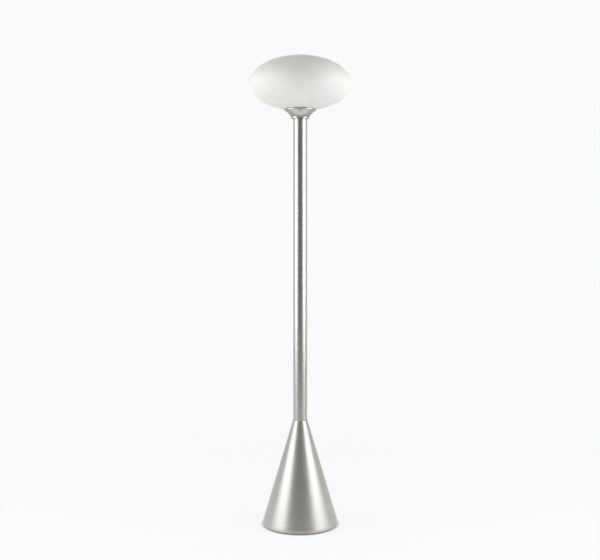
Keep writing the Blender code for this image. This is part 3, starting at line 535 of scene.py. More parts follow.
def worked(shape, tools, operation="DIFFERENCE"):
    """Cuts a shape with each tool in turn, or keeps only what lies in them."""
    work = as_object("work", shape)
    cutters = [as_object("work", tool) for tool in tools]
    for cutter in cutters:
        step = work.modifiers.new("cut", "BOOLEAN")
        step.operation = operation
        step.object = cutter
    graph = bpy.context.evaluated_depsgraph_get()
    result = bmesh.new()
    result.from_mesh(work.evaluated_get(graph).to_mesh())
    for thing in (work, *cutters):
        mesh = thing.data
        bpy.data.objects.remove(thing)
        bpy.data.meshes.remove(mesh)
    clean(result)
    return result


def press(shape, depth, low, high, beyond, wave):
    """Moves the walls beyond a radius inwards between two heights, by a wave of the turn and the height."""
    for vertex in shape.verts:
        x, y, z = vertex.co
        radius = math.hypot(x, y)
        if radius > beyond and low < z < high:
            share = 1 - depth * wave(math.atan2(y, x), z) / radius
            vertex.co = (x * share, y * share, z)
    return shape


def roll_thread(shape, pitch, depth, low, high, beyond):
    """A right-hand thread that runs out over a pitch at both ends."""
    def wave(turn, z):
        run_out = min(1, (z - low) / pitch, (high - z) / pitch)
        return (0.5 - 0.5 * math.cos(math.tau * z / pitch - turn)) * run_out

    return press(shape, depth, low, high, beyond, wave)


def flute(shape, count, depth, low, high, beyond):
    """Upright grooves."""
    return press(shape, depth, low, high, beyond, lambda turn, z: 0.5 - 0.5 * math.cos(count * turn))


def middle_of(name):
    low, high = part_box(name)
    return (low + high) / 2


def between(low, high, steps):
    return [low + (high - low) * step / steps for step in range(steps + 1)]


print("tools ready")

# %% [markdown]
# ## The cone
#
# The cover of the base is spun from a disc of aluminium. Its side is straight, its lower edge is turned
# down into a short lip with a soft corner, and the metal is thinner than it looks from outside: only
# the two cut edges show its thickness. A hole is pierced at the back for the mains lead. A cone primitive
# could give the slope, but not the wall or the lip, so the section is drawn and spun, and then drilled.

# %% The cone
CONE_WALL = 1.56 * MM  # measured level, through the slope
LIP_HEIGHT = 6.0 * MM
INLET_HEIGHT = 19.0 * MM
INLET_HOLE = 6.2 * MM

lip_top = foot_of("base_cone") + LIP_HEIGHT
cone_top = top_of("base_cone")
cone_top_radius = tube_radius + 0.9 * MM
cone_slope = (base_radius - cone_top_radius) / (cone_top - lip_top)
out_of_wall = Vector((0, 1, cone_slope)).normalized()
inlet_place = Vector((0, base_radius - cone_slope * (INLET_HEIGHT - lip_top), INLET_HEIGHT))


def cone_cover():
    bottom = foot_of("base_cone")
    opening = tube_radius + FIT
    opening_height = cone_top - (opening + CONE_WALL - cone_top_radius) / cone_slope
    above_inlet = INLET_HEIGHT + 2 * INLET_HOLE
    there = base_radius - cone_slope * (above_inlet - lip_top)
    outline = [
        (base_radius, bottom),
        (base_radius, lip_top),
        (there, above_inlet),
        (cone_top_radius, cone_top),
        (opening, cone_top),
        (opening, opening_height),
        (there - CONE_WALL, above_inlet),
        (base_radius - CONE_WALL, lip_top),
        (base_radius - CONE_WALL, bottom),
    ]
    rounding = {0: 0.6 * MM, 1: 4.5 * MM, 3: 0.25 * MM, 7: 4.0 * MM, 8: 0.4 * MM}
    through = 6 * MM * out_of_wall
    pierced = drill(INLET_HOLE, inlet_place - through, inlet_place + through)
    return worked(turned(outline, rounding, 192), [pierced])


finished("cone_cover", cone_cover(), spun_aluminium, "base_cone")

# %% [markdown]
# ## The tube
#
# The tube is drawn aluminium. Its ends are sawn square and broken lightly, as a lathe hand would do
# before it goes into its socket.

# %% The tube
TUBE_WALL = 2.0 * MM


def tube():
    outer, bottom, top = sizes_of("stem_tube")
    return ring(outer, outer - TUBE_WALL, bottom, top, 0.4 * MM, 128)


finished("tube", tube(), drawn_aluminium, "stem_tube")

# %% [markdown]
# ## The holder
#
# The holder is a small spun cup. It sits on the tube with a rounded foot, opens like a trumpet, and
# ends in a rolled rim, a bead that stands out from the flare. The flare is part of one circle, found
# here from its two ends and its radius.

# %% The holder
FOOT_RADIUS = tube_radius + 6.0 * MM
FOOT_ROUND = 2.0 * MM
RIM_HEIGHT = 5.0 * MM
RIM_STEP = 2.2 * MM
FLARE_ARC = 45.0 * MM
HOLDER_WALL = 1.5 * MM

flare_low = Vector((FOOT_RADIUS, holder_foot + FOOT_ROUND))
flare_high = Vector((rim_radius - RIM_STEP, rim_top - RIM_HEIGHT))
chord = flare_high - flare_low
outwards = Vector((chord.y, -chord.x)).normalized()
flare_centre = (flare_low + flare_high) / 2 + outwards * math.sqrt(FLARE_ARC**2 - chord.length_squared / 4)
print("the flare's circle is centred", round(flare_centre.x / MM, 1), "mm out")


def flare_radius(height, inside=0.0):
    """Radius of the flare at a height, on its outer face or a wall's thickness inside it."""
    return flare_centre.x - math.sqrt((FLARE_ARC + inside) ** 2 - (height - flare_centre.y) ** 2)


def flared_holder():
    steps = 20
    floor_top = holder_foot + HOLDER_WALL
    bead = RIM_HEIGHT / 2
    bead_centre = Vector((rim_radius - bead, rim_top - bead))
    turns = [math.radians(degrees) for degrees in between(-90, 90, 14)]
    rolled = [bead_centre + bead * Vector((math.cos(t), math.sin(t))) for t in turns]
    outer = [(flare_radius(z), z) for z in between(flare_low.y, flare_high.y, steps)]
    inner = [(flare_radius(z, HOLDER_WALL), z) for z in between(floor_top + FOOT_ROUND, flare_high.y, steps)]
    outline = [
        (ROD_HOLE, holder_foot),
        (FOOT_RADIUS, holder_foot),
        *outer,
        *[tuple(point) for point in rolled],
        (rim_radius - HOLDER_WALL - bead, rim_top - HOLDER_WALL),
        *reversed(inner),
        (inner[0][0], floor_top),
        (ROD_HOLE, floor_top),
    ]
    last = len(outline) - 1
    return turned(outline, {1: 1.9 * MM, last - 1: 1.5 * MM}, 160)


finished("flared_holder", flared_holder(), polished_aluminium, "glass_holder")

# %% [markdown]
# ## The globe
#
# The globe is blown into a mould and is wider than it is high. Its side is close to an ellipse, and
# below it runs into a short neck whose edge was melted round in a flame. The wall is a second ellipse
# inside the first.

# %% The globe
GLASS_WALL = 3.5 * MM
NECK_RADIUS = 36.5 * MM
GLOBE_HALF_HEIGHT = 80.4 * MM
globe_centre = top_of("globe") - GLOBE_HALF_HEIGHT


def ellipse(radius, half_height, neck, steps):
    """(radius, height) points from the top of the globe down to where its neck begins."""
    last = -math.acos(neck / radius)
    turns = between(math.pi / 2, last, steps)
    return [(radius * math.cos(t), globe_centre + half_height * math.sin(t)) for t in turns]


def glass_globe():
    steps = 96
    bottom = foot_of("globe")
    outside = ellipse(globe_radius, GLOBE_HALF_HEIGHT, NECK_RADIUS, steps)
    inner_neck = NECK_RADIUS - GLASS_WALL
    inside = ellipse(globe_radius - GLASS_WALL, GLOBE_HALF_HEIGHT - GLASS_WALL, inner_neck, steps)
    lip = GLASS_WALL / 2
    turns = [math.radians(degrees) for degrees in between(0, -180, 10)]
    middle = NECK_RADIUS - lip
    neck_end = [(middle + lip * math.cos(t), bottom + lip + lip * math.sin(t)) for t in turns]
    shape = bmesh.new()
    outline = [*outside, *neck_end, *reversed(inside)]
    points = [shape.verts.new((radius, 0, height)) for radius, height in outline]
    edges = [shape.edges.new(pair) for pair in zip(points, points[1:])]
    return spin_round(shape, points + edges, SIDES)


finished("glass_globe", glass_globe(), opal_glass, "globe", body="globe", sharp=60)

# %% [markdown]
# ## Under the base
#
# A moulded rubber ring carries the lamp, and keeps it from marking the floor. Shallow grooves in its
# underside help it to grip. It is turned like the rest, with its edges well rounded, as rubber comes
# out of a mould.

# %% The foot
FOOT_WIDTH = 16.0 * MM
GROOVE_HALF = 0.9 * MM
GROOVE_DEPTH = 0.7 * MM


def foot_pad():
    outer, floor, top = sizes_of("foot_ring")
    inner = outer - FOOT_WIDTH
    outline = [(inner, floor)]
    for groove in (1, 2, 3):
        centre = inner + FOOT_WIDTH * groove / 4
        roof_half = 0.6 * GROOVE_HALF
        outline += [
            (centre - GROOVE_HALF, floor),
            (centre - roof_half, floor + GROOVE_DEPTH),
            (centre + roof_half, floor + GROOVE_DEPTH),
            (centre + GROOVE_HALF, floor),
        ]
    outline += [(outer, floor), (outer, top), (inner, top)]
    last = len(outline) - 1
    return turned(outline, {0: 0.9 * MM, last - 2: 0.9 * MM, last - 1: 0.5 * MM, last: 0.5 * MM})


finished("foot_pad", foot_pad(), black_rubber, "foot_ring")

# %% [markdown]
# A pressed steel plate closes the base. Its edge is turned up and a raised bead stiffens it, so thin
# sheet does. Three pan-head screws hold it to a ring inside the cone. Their heads have a cross cut into
# them, and their shanks a rolled thread.

# %% The plate and its screws
SHEET = 1.2 * MM
BEAD_RISE = 0.7 * MM
SCREW_HOLE = 2.3 * MM


def screw(head_radius, shank_radius, length, pitch, recesses):
    """A pan-head screw: its head hangs below the origin and its shank runs up +Z."""
    head = head_radius / 2
    shank = [(shank_radius, z) for z in between(0.0, length - shank_radius / 2, round(8 * length / pitch))]
    point = [(shank_radius / 2, length), (0, length)]
    outline = [(0, -head), (head_radius, -head), (head_radius, 0), *shank, *point]
    shape = turned(outline, {1: 0.6 * head, 2: 0.1 * head}, 32)
    roll_thread(shape, pitch, 0.55 * pitch, 0.2 * pitch, length, 0.6 * shank_radius)
    half = 0.13 * head_radius
    reach = 0.62 * head_radius if recesses == 2 else 1.1 * head_radius
    cuts = [slab((-reach, -half, -1.1 * head), (reach, half, -0.35 * head))]
    if recesses == 2:
        cuts.append(slab((-half, -reach, -1.1 * head), (half, reach, -0.35 * head)))
    return worked(shape, cuts)


def set_screw(name, node, head_radius, shank_radius, pitch, recesses, finish):
    """A screw in the place and of the length that a node has."""
    low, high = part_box(node)
    head = head_radius / 2
    shape = screw(head_radius, shank_radius, high.z - low.z - head, pitch, recesses)
    placed(shape, ((low.x + high.x) / 2, (low.y + high.y) / 2, low.z + head))
    finished(name, shape, finish, node)


def screw_holes(low, high):
    """A drill for each of the three plate screws, between two heights."""
    places = [middle_of(f"plate_screw_{number}") for number in (1, 2, 3)]
    return [drill(SCREW_HOLE, (place.x, place.y, low), (place.x, place.y, high)) for place in places]


def closing_plate():
    edge, bottom, top = sizes_of("bottom_plate")
    bead = [(38 * MM, 0.0), (41 * MM, BEAD_RISE), (49 * MM, BEAD_RISE), (52 * MM, 0.0)]
    below = [(radius, bottom + rise) for radius, rise in bead]
    above = [(radius, bottom + rise + SHEET) for radius, rise in reversed(bead)]
    outline = [
        (0, bottom),
        *below,
        (edge, bottom),
        (edge, top),
        (edge - SHEET, top),
        (edge - SHEET, bottom + SHEET),
        *above,
        (0, bottom + SHEET),
    ]
    bends = {number: 1.0 * MM for number in (1, 2, 3, 4, 9, 10, 11, 12)}
    shape = turned(outline, {**bends, 5: 1.2 * MM, 6: 0.3 * MM, 7: 0.3 * MM}, 144)
    return worked(shape, screw_holes(bottom - SHEET, bottom + 3 * SHEET))


finished("closing_plate", closing_plate(), zinc, "bottom_plate")
for number in (1, 2, 3):
    set_screw(f"plate_fixing_{number}", f"plate_screw_{number}", 4 * MM, 2 * MM, 0.7 * MM, 2, zinc)


def clamp_ring():
    outer, bottom, top = sizes_of("cone_ring")
    bar = ring(outer, outer - 10 * MM, bottom, top, 0.3 * MM, 144)
    return worked(bar, screw_holes(bottom - SHEET, top + SHEET))


finished("clamp_ring", clamp_ring(), zinc, "cone_ring")

# %% [markdown]
# At the back a rubber bush lines the hole that the mains lead passes through. Its two lips grip the
# edge of the hole. It is turned upright, and then tilted square to the slope of the cone.

# %% The inlet bush
def inlet_bush():
    bore = 4.0 * MM
    waist = INLET_HOLE - FIT
    inner_lip = 7.5 * MM
    outer_lip = 8.5 * MM
    behind = -2.4 * MM
    thick = 1.5 * MM
    outline = [
        (bore, FIT + thick),
        (bore, behind - thick),
        (inner_lip, behind - thick),
        (inner_lip, behind),
        (waist, behind),
        (waist, FIT),
        (outer_lip, FIT),
        (outer_lip - FIT, FIT + thick),
    ]
    rounding = {0: 0.6 * MM, 1: 0.5 * MM, 2: 0.6 * MM, 3: 0.3 * MM, 6: 0.2 * MM, 7: 1.1 * MM}
    return placed(turned(outline, rounding, 64), inlet_place, out_of_wall)


finished("inlet_bush", inlet_bush(), black_rubber, "inlet_grommet")

# %% [markdown]
# ## Inside the base
#
# The lamp stands up because of a heavy iron casting. Sand casting leaves round corners and a slight
# grain. Its underside is hollowed for the nut of the tie rod, the terminal strip and the mains lead, and
# the tube stands in a socket on its top.

# %% The weight
def cast_weight():
    edge, floor, socket_top = sizes_of("base_weight")
    top = 36.8 * MM
    well = 20 * MM
    well_top = 26.3 * MM
    socket = tube_radius + FIT
    boss = socket + 5.7 * MM
    outline = [
        (ROD_HOLE, well_top),
        (ROD_HOLE, top),
        (socket, top),
        (socket, socket_top),
        (boss, socket_top),
        (boss + 4 * MM, top),
        (edge, top),
        (edge, floor),
        (well, floor),
        (well, well_top),
    ]
    rounding = {3: 0.5 * MM, 4: 1.5 * MM, 5: 3 * MM, 6: 6 * MM, 7: 1.0 * MM, 8: 1.0 * MM, 9: 1.5 * MM}
    shape = turned(outline, rounding, 128)
    below = floor - 2 * MM
    for_strip = slab((-20 * MM, 32 * MM, below), (20 * MM, 52 * MM, 25.6 * MM))
    for_leads = slab((-14.5 * MM, 0, below), (14.5 * MM, 33 * MM, 24.6 * MM))
    for_cord = slab((-6 * MM, 51 * MM, below), (6 * MM, edge + 2 * MM, 23.6 * MM))
    pockets = [for_strip, for_leads, for_cord]
    tag = middle_of("earth_tag")
    pockets.append(drill(2.1 * MM, (tag.x, tag.y, well_top - 2 * MM), (tag.x, tag.y, well_top + 7 * MM)))
    return worked(shape, pockets)


finished("cast_weight", cast_weight(), iron, "base_weight")

# %% [markdown]
# The mains lead ends in a strip of three moulded terminals, each a brass barrel with two slotted
# screws. The strip is a bevelled box with notches where it could be cut apart.

# %% The terminal strip
WAY_PITCH = 11.0 * MM


def terminal_strip():
    low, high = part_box("terminal_block")
    shape = slab(low, high)
    bmesh.ops.bevel(
        shape, geom=shape.edges[:], offset=0.8 * MM, affect="EDGES", segments=3, profile=0.5, material=-1
    )
    middle = (low + high) / 2
    cuts = []
    for side in (-0.5, 0.5):
        x = side * WAY_PITCH
        for z in (low.z, high.z):
            cuts.append(slab((x - 0.7 * MM, low.y - MM, z - 2 * MM), (x + 0.7 * MM, high.y + MM, z + 2 * MM)))
    for way in (-1, 0, 1):
        x = way * WAY_PITCH
        cuts.append(drill(1.8 * MM, (x, low.y - MM, middle.z), (x, high.y + MM, middle.z)))
        for y in ((low.y + middle.y) / 2, (high.y + middle.y) / 2):
            cuts.append(drill(1.7 * MM, (x, y, low.z - MM), (x, y, middle.z)))
    return worked(shape, cuts)


finished("terminal_strip", terminal_strip(), nylon, "terminal_block")
for number in range(1, 7):
    set_screw(f"strip_screw_{number}", f"terminal_screw_{number}", 2.2 * MM, 1.4 * MM, 0.5 * MM, 1, brass)
set_screw("earthing_screw", "earth_screw", 3.2 * MM, 1.8 * MM, 0.7 * MM, 2, brass)

# %% [markdown]
# ## The clamping pieces
#
# One hollow rod runs the whole height of the lamp. It is threaded at both ends, and two nuts on it
# squeeze the weight, the tube, the plug, the holder and the glass tray together. A nut is a six-sided
# bar with its corners chamfered: here, only what a hexagon and a chamfered disc share is kept.

# %% The tie rod, its nuts and its washers
ROD_THREAD = 14.0 * MM
ROD_PITCH = 1.0 * MM
NUT_ACROSS = 17.0 * MM


def tie_rod():
    outer, bottom, top = sizes_of("tie_rod")
    inner = 3.7 * MM
    steps = round(8 * ROD_THREAD / ROD_PITCH)
    low_end = [(outer, z) for z in between(bottom, bottom + ROD_THREAD, steps)]
    high_end = [(outer, z) for z in between(top - ROD_THREAD, top, steps)]
    outline = [*low_end, *high_end, (inner, top), (inner, bottom)]
    shape = turned(outline, None, 32)
    for low in (bottom - ROD_PITCH, top - ROD_THREAD):
        roll_thread(shape, ROD_PITCH, 0.5 * MM, low, low + ROD_THREAD + ROD_PITCH, 4.5 * MM)
    return shape


def hex_nut(node):
    _, bottom, top = sizes_of(node)
    corner = NUT_ACROSS / 2 / math.cos(math.radians(30))
    bar = drill(corner, (0, 0, bottom), (0, 0, top), 6)
    face = 0.48 * NUT_ACROSS
    chamfer = (corner - face) * math.tan(math.radians(30))
    disc = [(0, bottom), (face, bottom), (corner, bottom + chamfer)]
    disc += [(corner, top - chamfer), (face, top), (0, top)]
    nut = worked(bar, [turned(disc, None, 64)], "INTERSECT")
    return worked(nut, [drill(ROD_HOLE, (0, 0, bottom - MM), (0, 0, top + MM), 48)])


def washer(node):
    outer, bottom, top = sizes_of(node)
    outline = [(outer, bottom), (outer, top), (ROD_HOLE, top), (ROD_HOLE, bottom)]
    return turned(outline, {0: 0.2 * MM, 1: 0.4 * MM}, 64)


def spring_washer():
    """A flat ring of square wire that is cut through once, on a slant."""
    outer, low, high = sizes_of("lock_washer")
    gap = slab((5 * MM, -0.4 * MM, low - 3 * MM), (outer + MM, 0.4 * MM, high + 3 * MM))
    tilt = Matrix.Rotation(math.radians(35), 4, "X")
    middle = Vector((0, 0, (low + high) / 2))
    bmesh.ops.rotate(gap, verts=gap.verts, cent=middle, matrix=tilt)
    return worked(washer("lock_washer"), [gap])


finished("threaded_rod", tie_rod(), zinc, "tie_rod")
finished("lower_nut", hex_nut("base_nut"), zinc, "base_nut")
finished("upper_nut", hex_nut("top_nut"), zinc, "top_nut")
finished("wide_washer", washer("base_washer"), zinc, "base_washer")
finished("spring_washer", spring_washer(), zinc, "lock_washer")

# %% [markdown]
# A turned plug carries the holder on the end of the tube, and a nylon bush centres the top of the cone
# on it. Both are plain turnings with their edges broken.

# %% The plug and the bush
def end_plug():
    flange, bottom, top = sizes_of("stem_plug")
    body = tube_radius - TUBE_WALL - FIT
    under = top - 2 * MM
    outline = [(ROD_HOLE, bottom), (body, bottom), (body, under)]
    outline += [(flange, under), (flange, top), (ROD_HOLE, top)]
    return turned(outline, {0: 0.6 * MM, 1: 1.0 * MM, 3: 0.2 * MM, 4: 0.2 * MM, 5: 0.6 * MM}, 96)


def centring_bush():
    low, bottom, top = sizes_of("cone_bush")
    bore = tube_radius + FIT
    high = low - cone_slope * (top - bottom)
    outline = [(bore, top), (bore, bottom), (low, bottom), (high, top)]
    return turned(outline, {corner: 0.5 * MM for corner in range(4)}, 96)


finished("end_plug", end_plug(), zinc, "stem_plug")
finished("centring_bush", centring_bush(), nylon, "cone_bush")

# %% [markdown]
# ## The tray that the glass stands in
#
# Inside the holder a pressed steel tray carries the globe. Its hub is clamped under the upper nut, its
# floor steps up to a flat seat, and its edge is turned up into a lip round the neck of the glass. The
# outline has the same wall all the way, with a small bend inside and a larger one outside, as pressing
# makes them. A thin rubber ring lies between steel and glass.

# %% The tray and the gasket
def glass_tray():
    edge, hub, lip = sizes_of("gallery")
    seat = lip - 3.6 * MM
    well = 23 * MM
    outline = [
        (ROD_HOLE, hub),
        (well, hub),
        (well + SHEET / 2, seat - SHEET),
        (edge, seat - SHEET),
        (edge, lip),
        (edge - SHEET, lip),
        (edge - SHEET, seat),
        (well - SHEET / 2, seat),
        (well - SHEET, hub + SHEET),
        (ROD_HOLE, hub + SHEET),
    ]
    wide = 1.7 * MM
    tight = 0.6 * MM
    bends = {1: wide, 2: tight, 3: wide, 6: tight, 7: wide, 8: tight}
    return turned(outline, {**bends, 4: 0.5 * MM, 5: 0.5 * MM})


def seat_gasket():
    outer, bottom, top = sizes_of("glass_gasket")
    return ring(outer, outer - 3.2 * MM, bottom, top, 0.5 * MM)


finished("glass_tray", glass_tray(), zinc, "gallery")
finished("seat_gasket", seat_gasket(), black_rubber, "glass_gasket")

# %% [markdown]
# ## The lampholder
#
# Two white mouldings hold the electrical parts: a dome on the rod, and a skirt that screws on to it. The
# skirt is fluted so that fingers can turn it. A porcelain disc sits between them with the contacts, and
# the brass shell that the bulb screws into stands on it. Its thread is the round one that lamps have,
# seven turns to the inch, and it is kept shallow here because the bulb slides straight out.

# %% The lampholder
LAMP_PITCH = 3.63 * MM
HOLDER_SKIN = 1.8 * MM
BRASS_SHEET = 0.4 * MM
lampholder_radius = radius_of("lampholder_dome")
spigot_radius = lampholder_radius - HOLDER_SKIN


def holder_dome():
    _, bottom, top = sizes_of("lampholder_dome")
    shoulder = top - 4 * MM
    inside = spigot_radius - HOLDER_SKIN
    hub = 9.5 * MM
    hub_top = bottom + 5.5 * MM
    spigot = [(spigot_radius, z) for z in between(shoulder, top, 16)]
    outline = [
        (ROD_HOLE, bottom),
        (lampholder_radius, bottom),
        (lampholder_radius, shoulder),
        *spigot,
        (inside, top),
        (inside, bottom + 4.3 * MM),
        (hub, bottom + 2.5 * MM),
        (hub, hub_top),
        (ROD_HOLE, hub_top),
    ]
    shape = turned(outline, {1: 3.8 * MM, 2: 0.4 * MM}, 128)
    roll_thread(shape, 1.5 * MM, 0.4 * MM, shoulder, top, spigot_radius - 0.3 * MM)
    height = middle_of("grub_screw").z
    return worked(shape, [drill(1.5 * MM, (0, -5 * MM, height), (0, -22 * MM, height))])


def holder_skirt():
    _, bottom, top = sizes_of("lampholder_skirt")
    inside = 14.7 * MM
    socket = spigot_radius + FIT
    ledge = top_of("lampholder_insert")
    fluted = (bottom + 2 * MM, top - 9 * MM)
    wall = [(lampholder_radius, z) for z in between(*fluted, 12)]
    outline = [
        (socket, bottom),
        (lampholder_radius, bottom),
        *wall,
        (lampholder_radius, top - 8 * MM),
        (lampholder_radius, top),
        (inside, top),
        (inside, ledge + 0.6 * MM),
        (socket, ledge + FIT),
    ]
    last = len(outline) - 1
    shape = turned(outline, {1: 0.5 * MM, last - 3: 1.2 * MM, last - 2: 0.5 * MM}, 192)
    low, high = fluted[0] + 0.1 * MM, fluted[1] - 0.1 * MM
    return flute(shape, 48, 0.4 * MM, low, high, lampholder_radius - 0.2 * MM)


def contact_disc():
    edge, bottom, top = sizes_of("lampholder_insert")
    step = top_of("lampholder_dome") + FIT
    body = spigot_radius - HOLDER_SKIN - FIT
    outline = [(0, bottom), (body, bottom), (body, step), (edge, step), (edge, top), (0, top)]
    return turned(outline, {1: 0.8 * MM, 3: 0.4 * MM, 4: 0.6 * MM}, 96)


def threaded_shell():
    outer, bottom, top = sizes_of("screw_shell")
    inner = outer - BRASS_SHEET
    hole = 9.5 * MM
    heights = between(bottom + BRASS_SHEET, top, 66)
    outline = [
        (hole, bottom),
        (outer, bottom),
        *[(outer, z) for z in heights],
        *[(inner, z) for z in reversed(heights)],
        (hole, bottom + BRASS_SHEET),
    ]
    shape = turned(outline, {1: 0.3 * MM}, 96)
    return roll_thread(shape, LAMP_PITCH, 0.4 * MM, bottom + 2 * MM, top - 0.5 * MM, 13 * MM)


def spring_contact():
    """A brass strip with two bends, drawn from the side and pushed out to its width."""
    low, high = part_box("centre_contact")
    rise = high.z - low.z - BRASS_SHEET
    under = [(low.x, 0.0), (low.x + 3 * MM, 0.0), (0.0, rise), (high.x, rise)]
    over = [(x, z + BRASS_SHEET) for x, z in reversed(under)]
    shape = bmesh.new()
    points = [shape.verts.new((x, low.y, low.z + z)) for x, z in under + over]
    shape.faces.new(points)
    round_corners(shape, {points[number]: 0.9 * MM for number in (1, 2, 5, 6)})
    pushed = bmesh.ops.extrude_face_region(shape, geom=shape.faces[:])
    moved = [item for item in pushed["geom"] if isinstance(item, bmesh.types.BMVert)]
    bmesh.ops.translate(shape, verts=moved, vec=(0, high.y - low.y, 0))
    clean(shape)
    return shape


def grub_screw():
    low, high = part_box("grub_screw")
    length = high.y - low.y
    radius = (high.z - low.z) / 2
    shank = [(radius, z) for z in between(0.3 * MM, length - 0.3 * MM, 100)]
    outline = [(0, 0), (0.7 * radius, 0), *shank, (0.7 * radius, length), (0, length)]
    shape = turned(outline, None, 24)
    roll_thread(shape, 0.5 * MM, 0.25 * MM, 0.1 * MM, length - 0.1 * MM, 0.8 * radius)
    socket = drill(0.55 * radius, (0, 0, length - 1.2 * MM), (0, 0, length + MM), 6)
    shape = worked(shape, [socket])
    return placed(shape, (0, high.y, (low.z + high.z) / 2), (0, -1, 0))


finished("holder_dome", holder_dome(), white_plastic, "lampholder_dome")
finished("holder_skirt", holder_skirt(), white_plastic, "lampholder_skirt")
finished("contact_disc", contact_disc(), porcelain, "lampholder_insert")
finished("threaded_shell", threaded_shell(), brass, "screw_shell")
finished("spring_contact", spring_contact(), brass, "centre_contact")
finished("grub_fixing", grub_screw(), zinc, "grub_screw")

# %% [markdown]
# ## The bulb
#
# The bulb is a pear of thin etched glass. Its crown is round, and runs by a straight flank into the
# neck, where the glass turns smoothly upright into the cap. The cap is rolled sheet with the same
# thread as the shell, closed below by black glass with a drop of solder in the middle.

# %% The bulb's glass and cap
BULB_GLASS = 1.0 * MM
bulb_neck = 12.2 * MM
cap_top = top_of("bulb_cap")


def pear(radius, neck, crown_height, steps):
    """(radius, height) points from the crown's pole to the end of the neck."""
    neck_top = cap_top + 6 * MM
    drop = crown_height - neck_top
    tangent = math.atan2(drop, neck) - math.acos(radius / math.hypot(neck, drop))
    turns = between(math.pi / 2, -tangent, steps)
    crown = [(radius * math.cos(turn), crown_height + radius * math.sin(turn)) for turn in turns[1:]]
    return [(0, crown_height + radius), *crown, (neck, neck_top), (neck, cap_top - 3 * MM)]


def bulb_glass():
    steps = 40
    radius = radius_of("bulb_envelope")
    crown_height = top_of("bulb_envelope") - radius
    outside = pear(radius, bulb_neck, crown_height, steps)
    inside = pear(radius - BULB_GLASS, bulb_neck - BULB_GLASS, crown_height, steps)
    outline = [*outside, *reversed(inside)]
    return turned(outline, {steps + 1: 5 * MM, steps + 4: 5 * MM}, 96)


def screw_cap():
    radius, bottom, _ = sizes_of("bulb_cap")
    inner = radius - BRASS_SHEET
    hole = 9.5 * MM
    heights = between(bottom + 1.5 * MM, cap_top, 60)
    outline = [
        *[(radius, z) for z in heights],
        *[(inner, z) for z in reversed(heights)],
        (hole, bottom + BRASS_SHEET),
        (hole, bottom),
        (inner, bottom + 0.7 * MM),
    ]
    shape = turned(outline, None, 96)
    return roll_thread(shape, LAMP_PITCH, 0.8 * MM, bottom + 1.7 * MM, cap_top - 3.3 * MM, 12.5 * MM)


def cap_seal():
    edge, bottom, top = sizes_of("bulb_insulator")
    hole = 4.8 * MM
    outline = [(hole, bottom), (6.5 * MM, bottom), (edge, top), (hole, top)]
    return turned(outline, {1: 0.5 * MM}, 64)


def solder_tip():
    edge, bottom, top = sizes_of("bulb_contact")
    return turned([(0, bottom), (edge, bottom), (edge, top), (0, top)], {1: 1.8 * MM, 2: 0.3 * MM}, 48)


def glass_mount():
    """The stem inside the bulb. Its top was pinched flat round the two wires while it was soft."""
    skirt, bottom, top = sizes_of("bulb_stem")
    lip = bottom + 1.5 * MM
    outline = [
        (0, bottom + 2.5 * MM),
        (skirt - 0.8 * MM, bottom),
        (skirt, bottom),
        (skirt, lip),
        (3 * MM, cap_top + 10 * MM),
        (3 * MM, cap_top + 18 * MM),
        (3 * MM, top - 2 * MM),
        (2.4 * MM, top),
        (0, top),
    ]
    shape = turned(outline, {4: 3 * MM, 7: 0.8 * MM}, 48)
    pinch_from = cap_top + 14 * MM
    for vertex in shape.verts:
        share = min(1, max(0, (vertex.co.z - pinch_from) / (6 * MM)))
        vertex.co.y *= 1 - 0.5 * share
    return shape


finished("bulb_glass", bulb_glass(), pearl, "bulb_envelope", body="bulb")
finished("bulb_screw_cap", screw_cap(), nickel, "bulb_cap", body="bulb")
finished("bulb_seal", cap_seal(), black_glass, "bulb_insulator", body="bulb")
finished("bulb_tip", solder_tip(), solder, "bulb_contact", body="bulb")
finished("bulb_mount", glass_mount(), clear_glass, "bulb_stem", body="bulb")

# %% [markdown]
# The filament is a very fine coil hung between two stiff wires. A round bevel on a curve gives a wire
# its thickness, and a helix bent over an arch gives the coil. It is drawn with fewer and wider turns
# than a real one, whose coil is too fine to see.

# %% The filament
COIL_TURNS = 44
COIL_RADIUS = 0.5 * MM
WIRE_RADIUS = 0.16 * MM


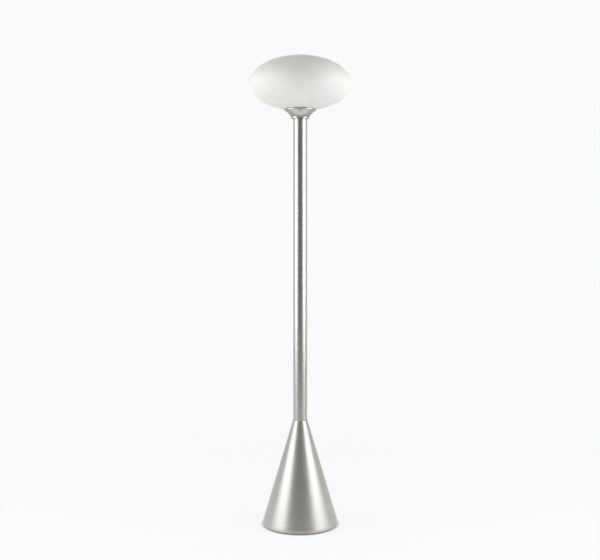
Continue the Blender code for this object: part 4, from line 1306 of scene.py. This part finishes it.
def lamp_wires():
    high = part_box("bulb_filament")[1]
    reach = high.x - 2 * WIRE_RADIUS - COIL_RADIUS
    tips = high.z - 3.5 * MM
    crown = high.z - COIL_RADIUS - 2 * WIRE_RADIUS
    paths = []
    for side in (-1, 1):
        foot = Vector((side * 2.2 * MM, 0, top_of("bulb_stem") - 3 * MM))
        knee = Vector((side * 4.5 * MM, 0, top_of("bulb_stem") + 2 * MM))
        paths.append([foot, knee, Vector((side * reach, 0, tips))])
    coil = []
    points_per_turn = 10
    for step in range(COIL_TURNS * points_per_turn + 1):
        share = step / (COIL_TURNS * points_per_turn)
        turn = math.tau * step / points_per_turn
        across = reach * (2 * share - 1)
        rise = tips + (crown - tips) * math.sin(math.pi * share)
        coil.append(Vector((across, COIL_RADIUS * math.cos(turn), rise + COIL_RADIUS * math.sin(turn))))
    paths.append(coil)
    curve = bpy.data.curves.new("bulb_coil", "CURVE")
    curve.dimensions = "3D"
    curve.bevel_depth = WIRE_RADIUS
    curve.bevel_resolution = 1
    curve.use_fill_caps = True
    for path in paths:
        spline = curve.splines.new("POLY")
        spline.points.add(len(path) - 1)
        for point, place in zip(spline.points, path):
            point.co = (*place, 1)
    return curve


coil_curve = lamp_wires()
coil_curve.materials.append(tungsten)
filament = bpy.data.objects.new("bulb_coil", coil_curve)
bpy.context.scene.collection.objects.link(filament)
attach(filament, "bulb")
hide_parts("bulb_filament")
print("filament of", COIL_TURNS, "turns")

# %% [markdown]
# ## The pieces that keep their plain shape
#
# The leads, their crimped ends and the earth tag are plain bent wire and stamped sheet, deep inside the
# lamp. The shape that the frame gives is already right, so they could be made again with nothing
# gained. They are carried over, and only their finish is set here.

# %% Finishes for the carried pieces
FINISHES = {
    brass: ["live_terminal", "neutral_terminal", "earth_tag"],
    brown_pvc: ["live_lead"],
    blue_pvc: ["neutral_lead"],
    earth_pvc: ["earth_lead"],
}
for finish, names in FINISHES.items():
    for name in names:
        for slot in nodes[name].material_slots:
            slot.material = finish
print(sum(map(len, FINISHES.values())), "carried nodes finished")
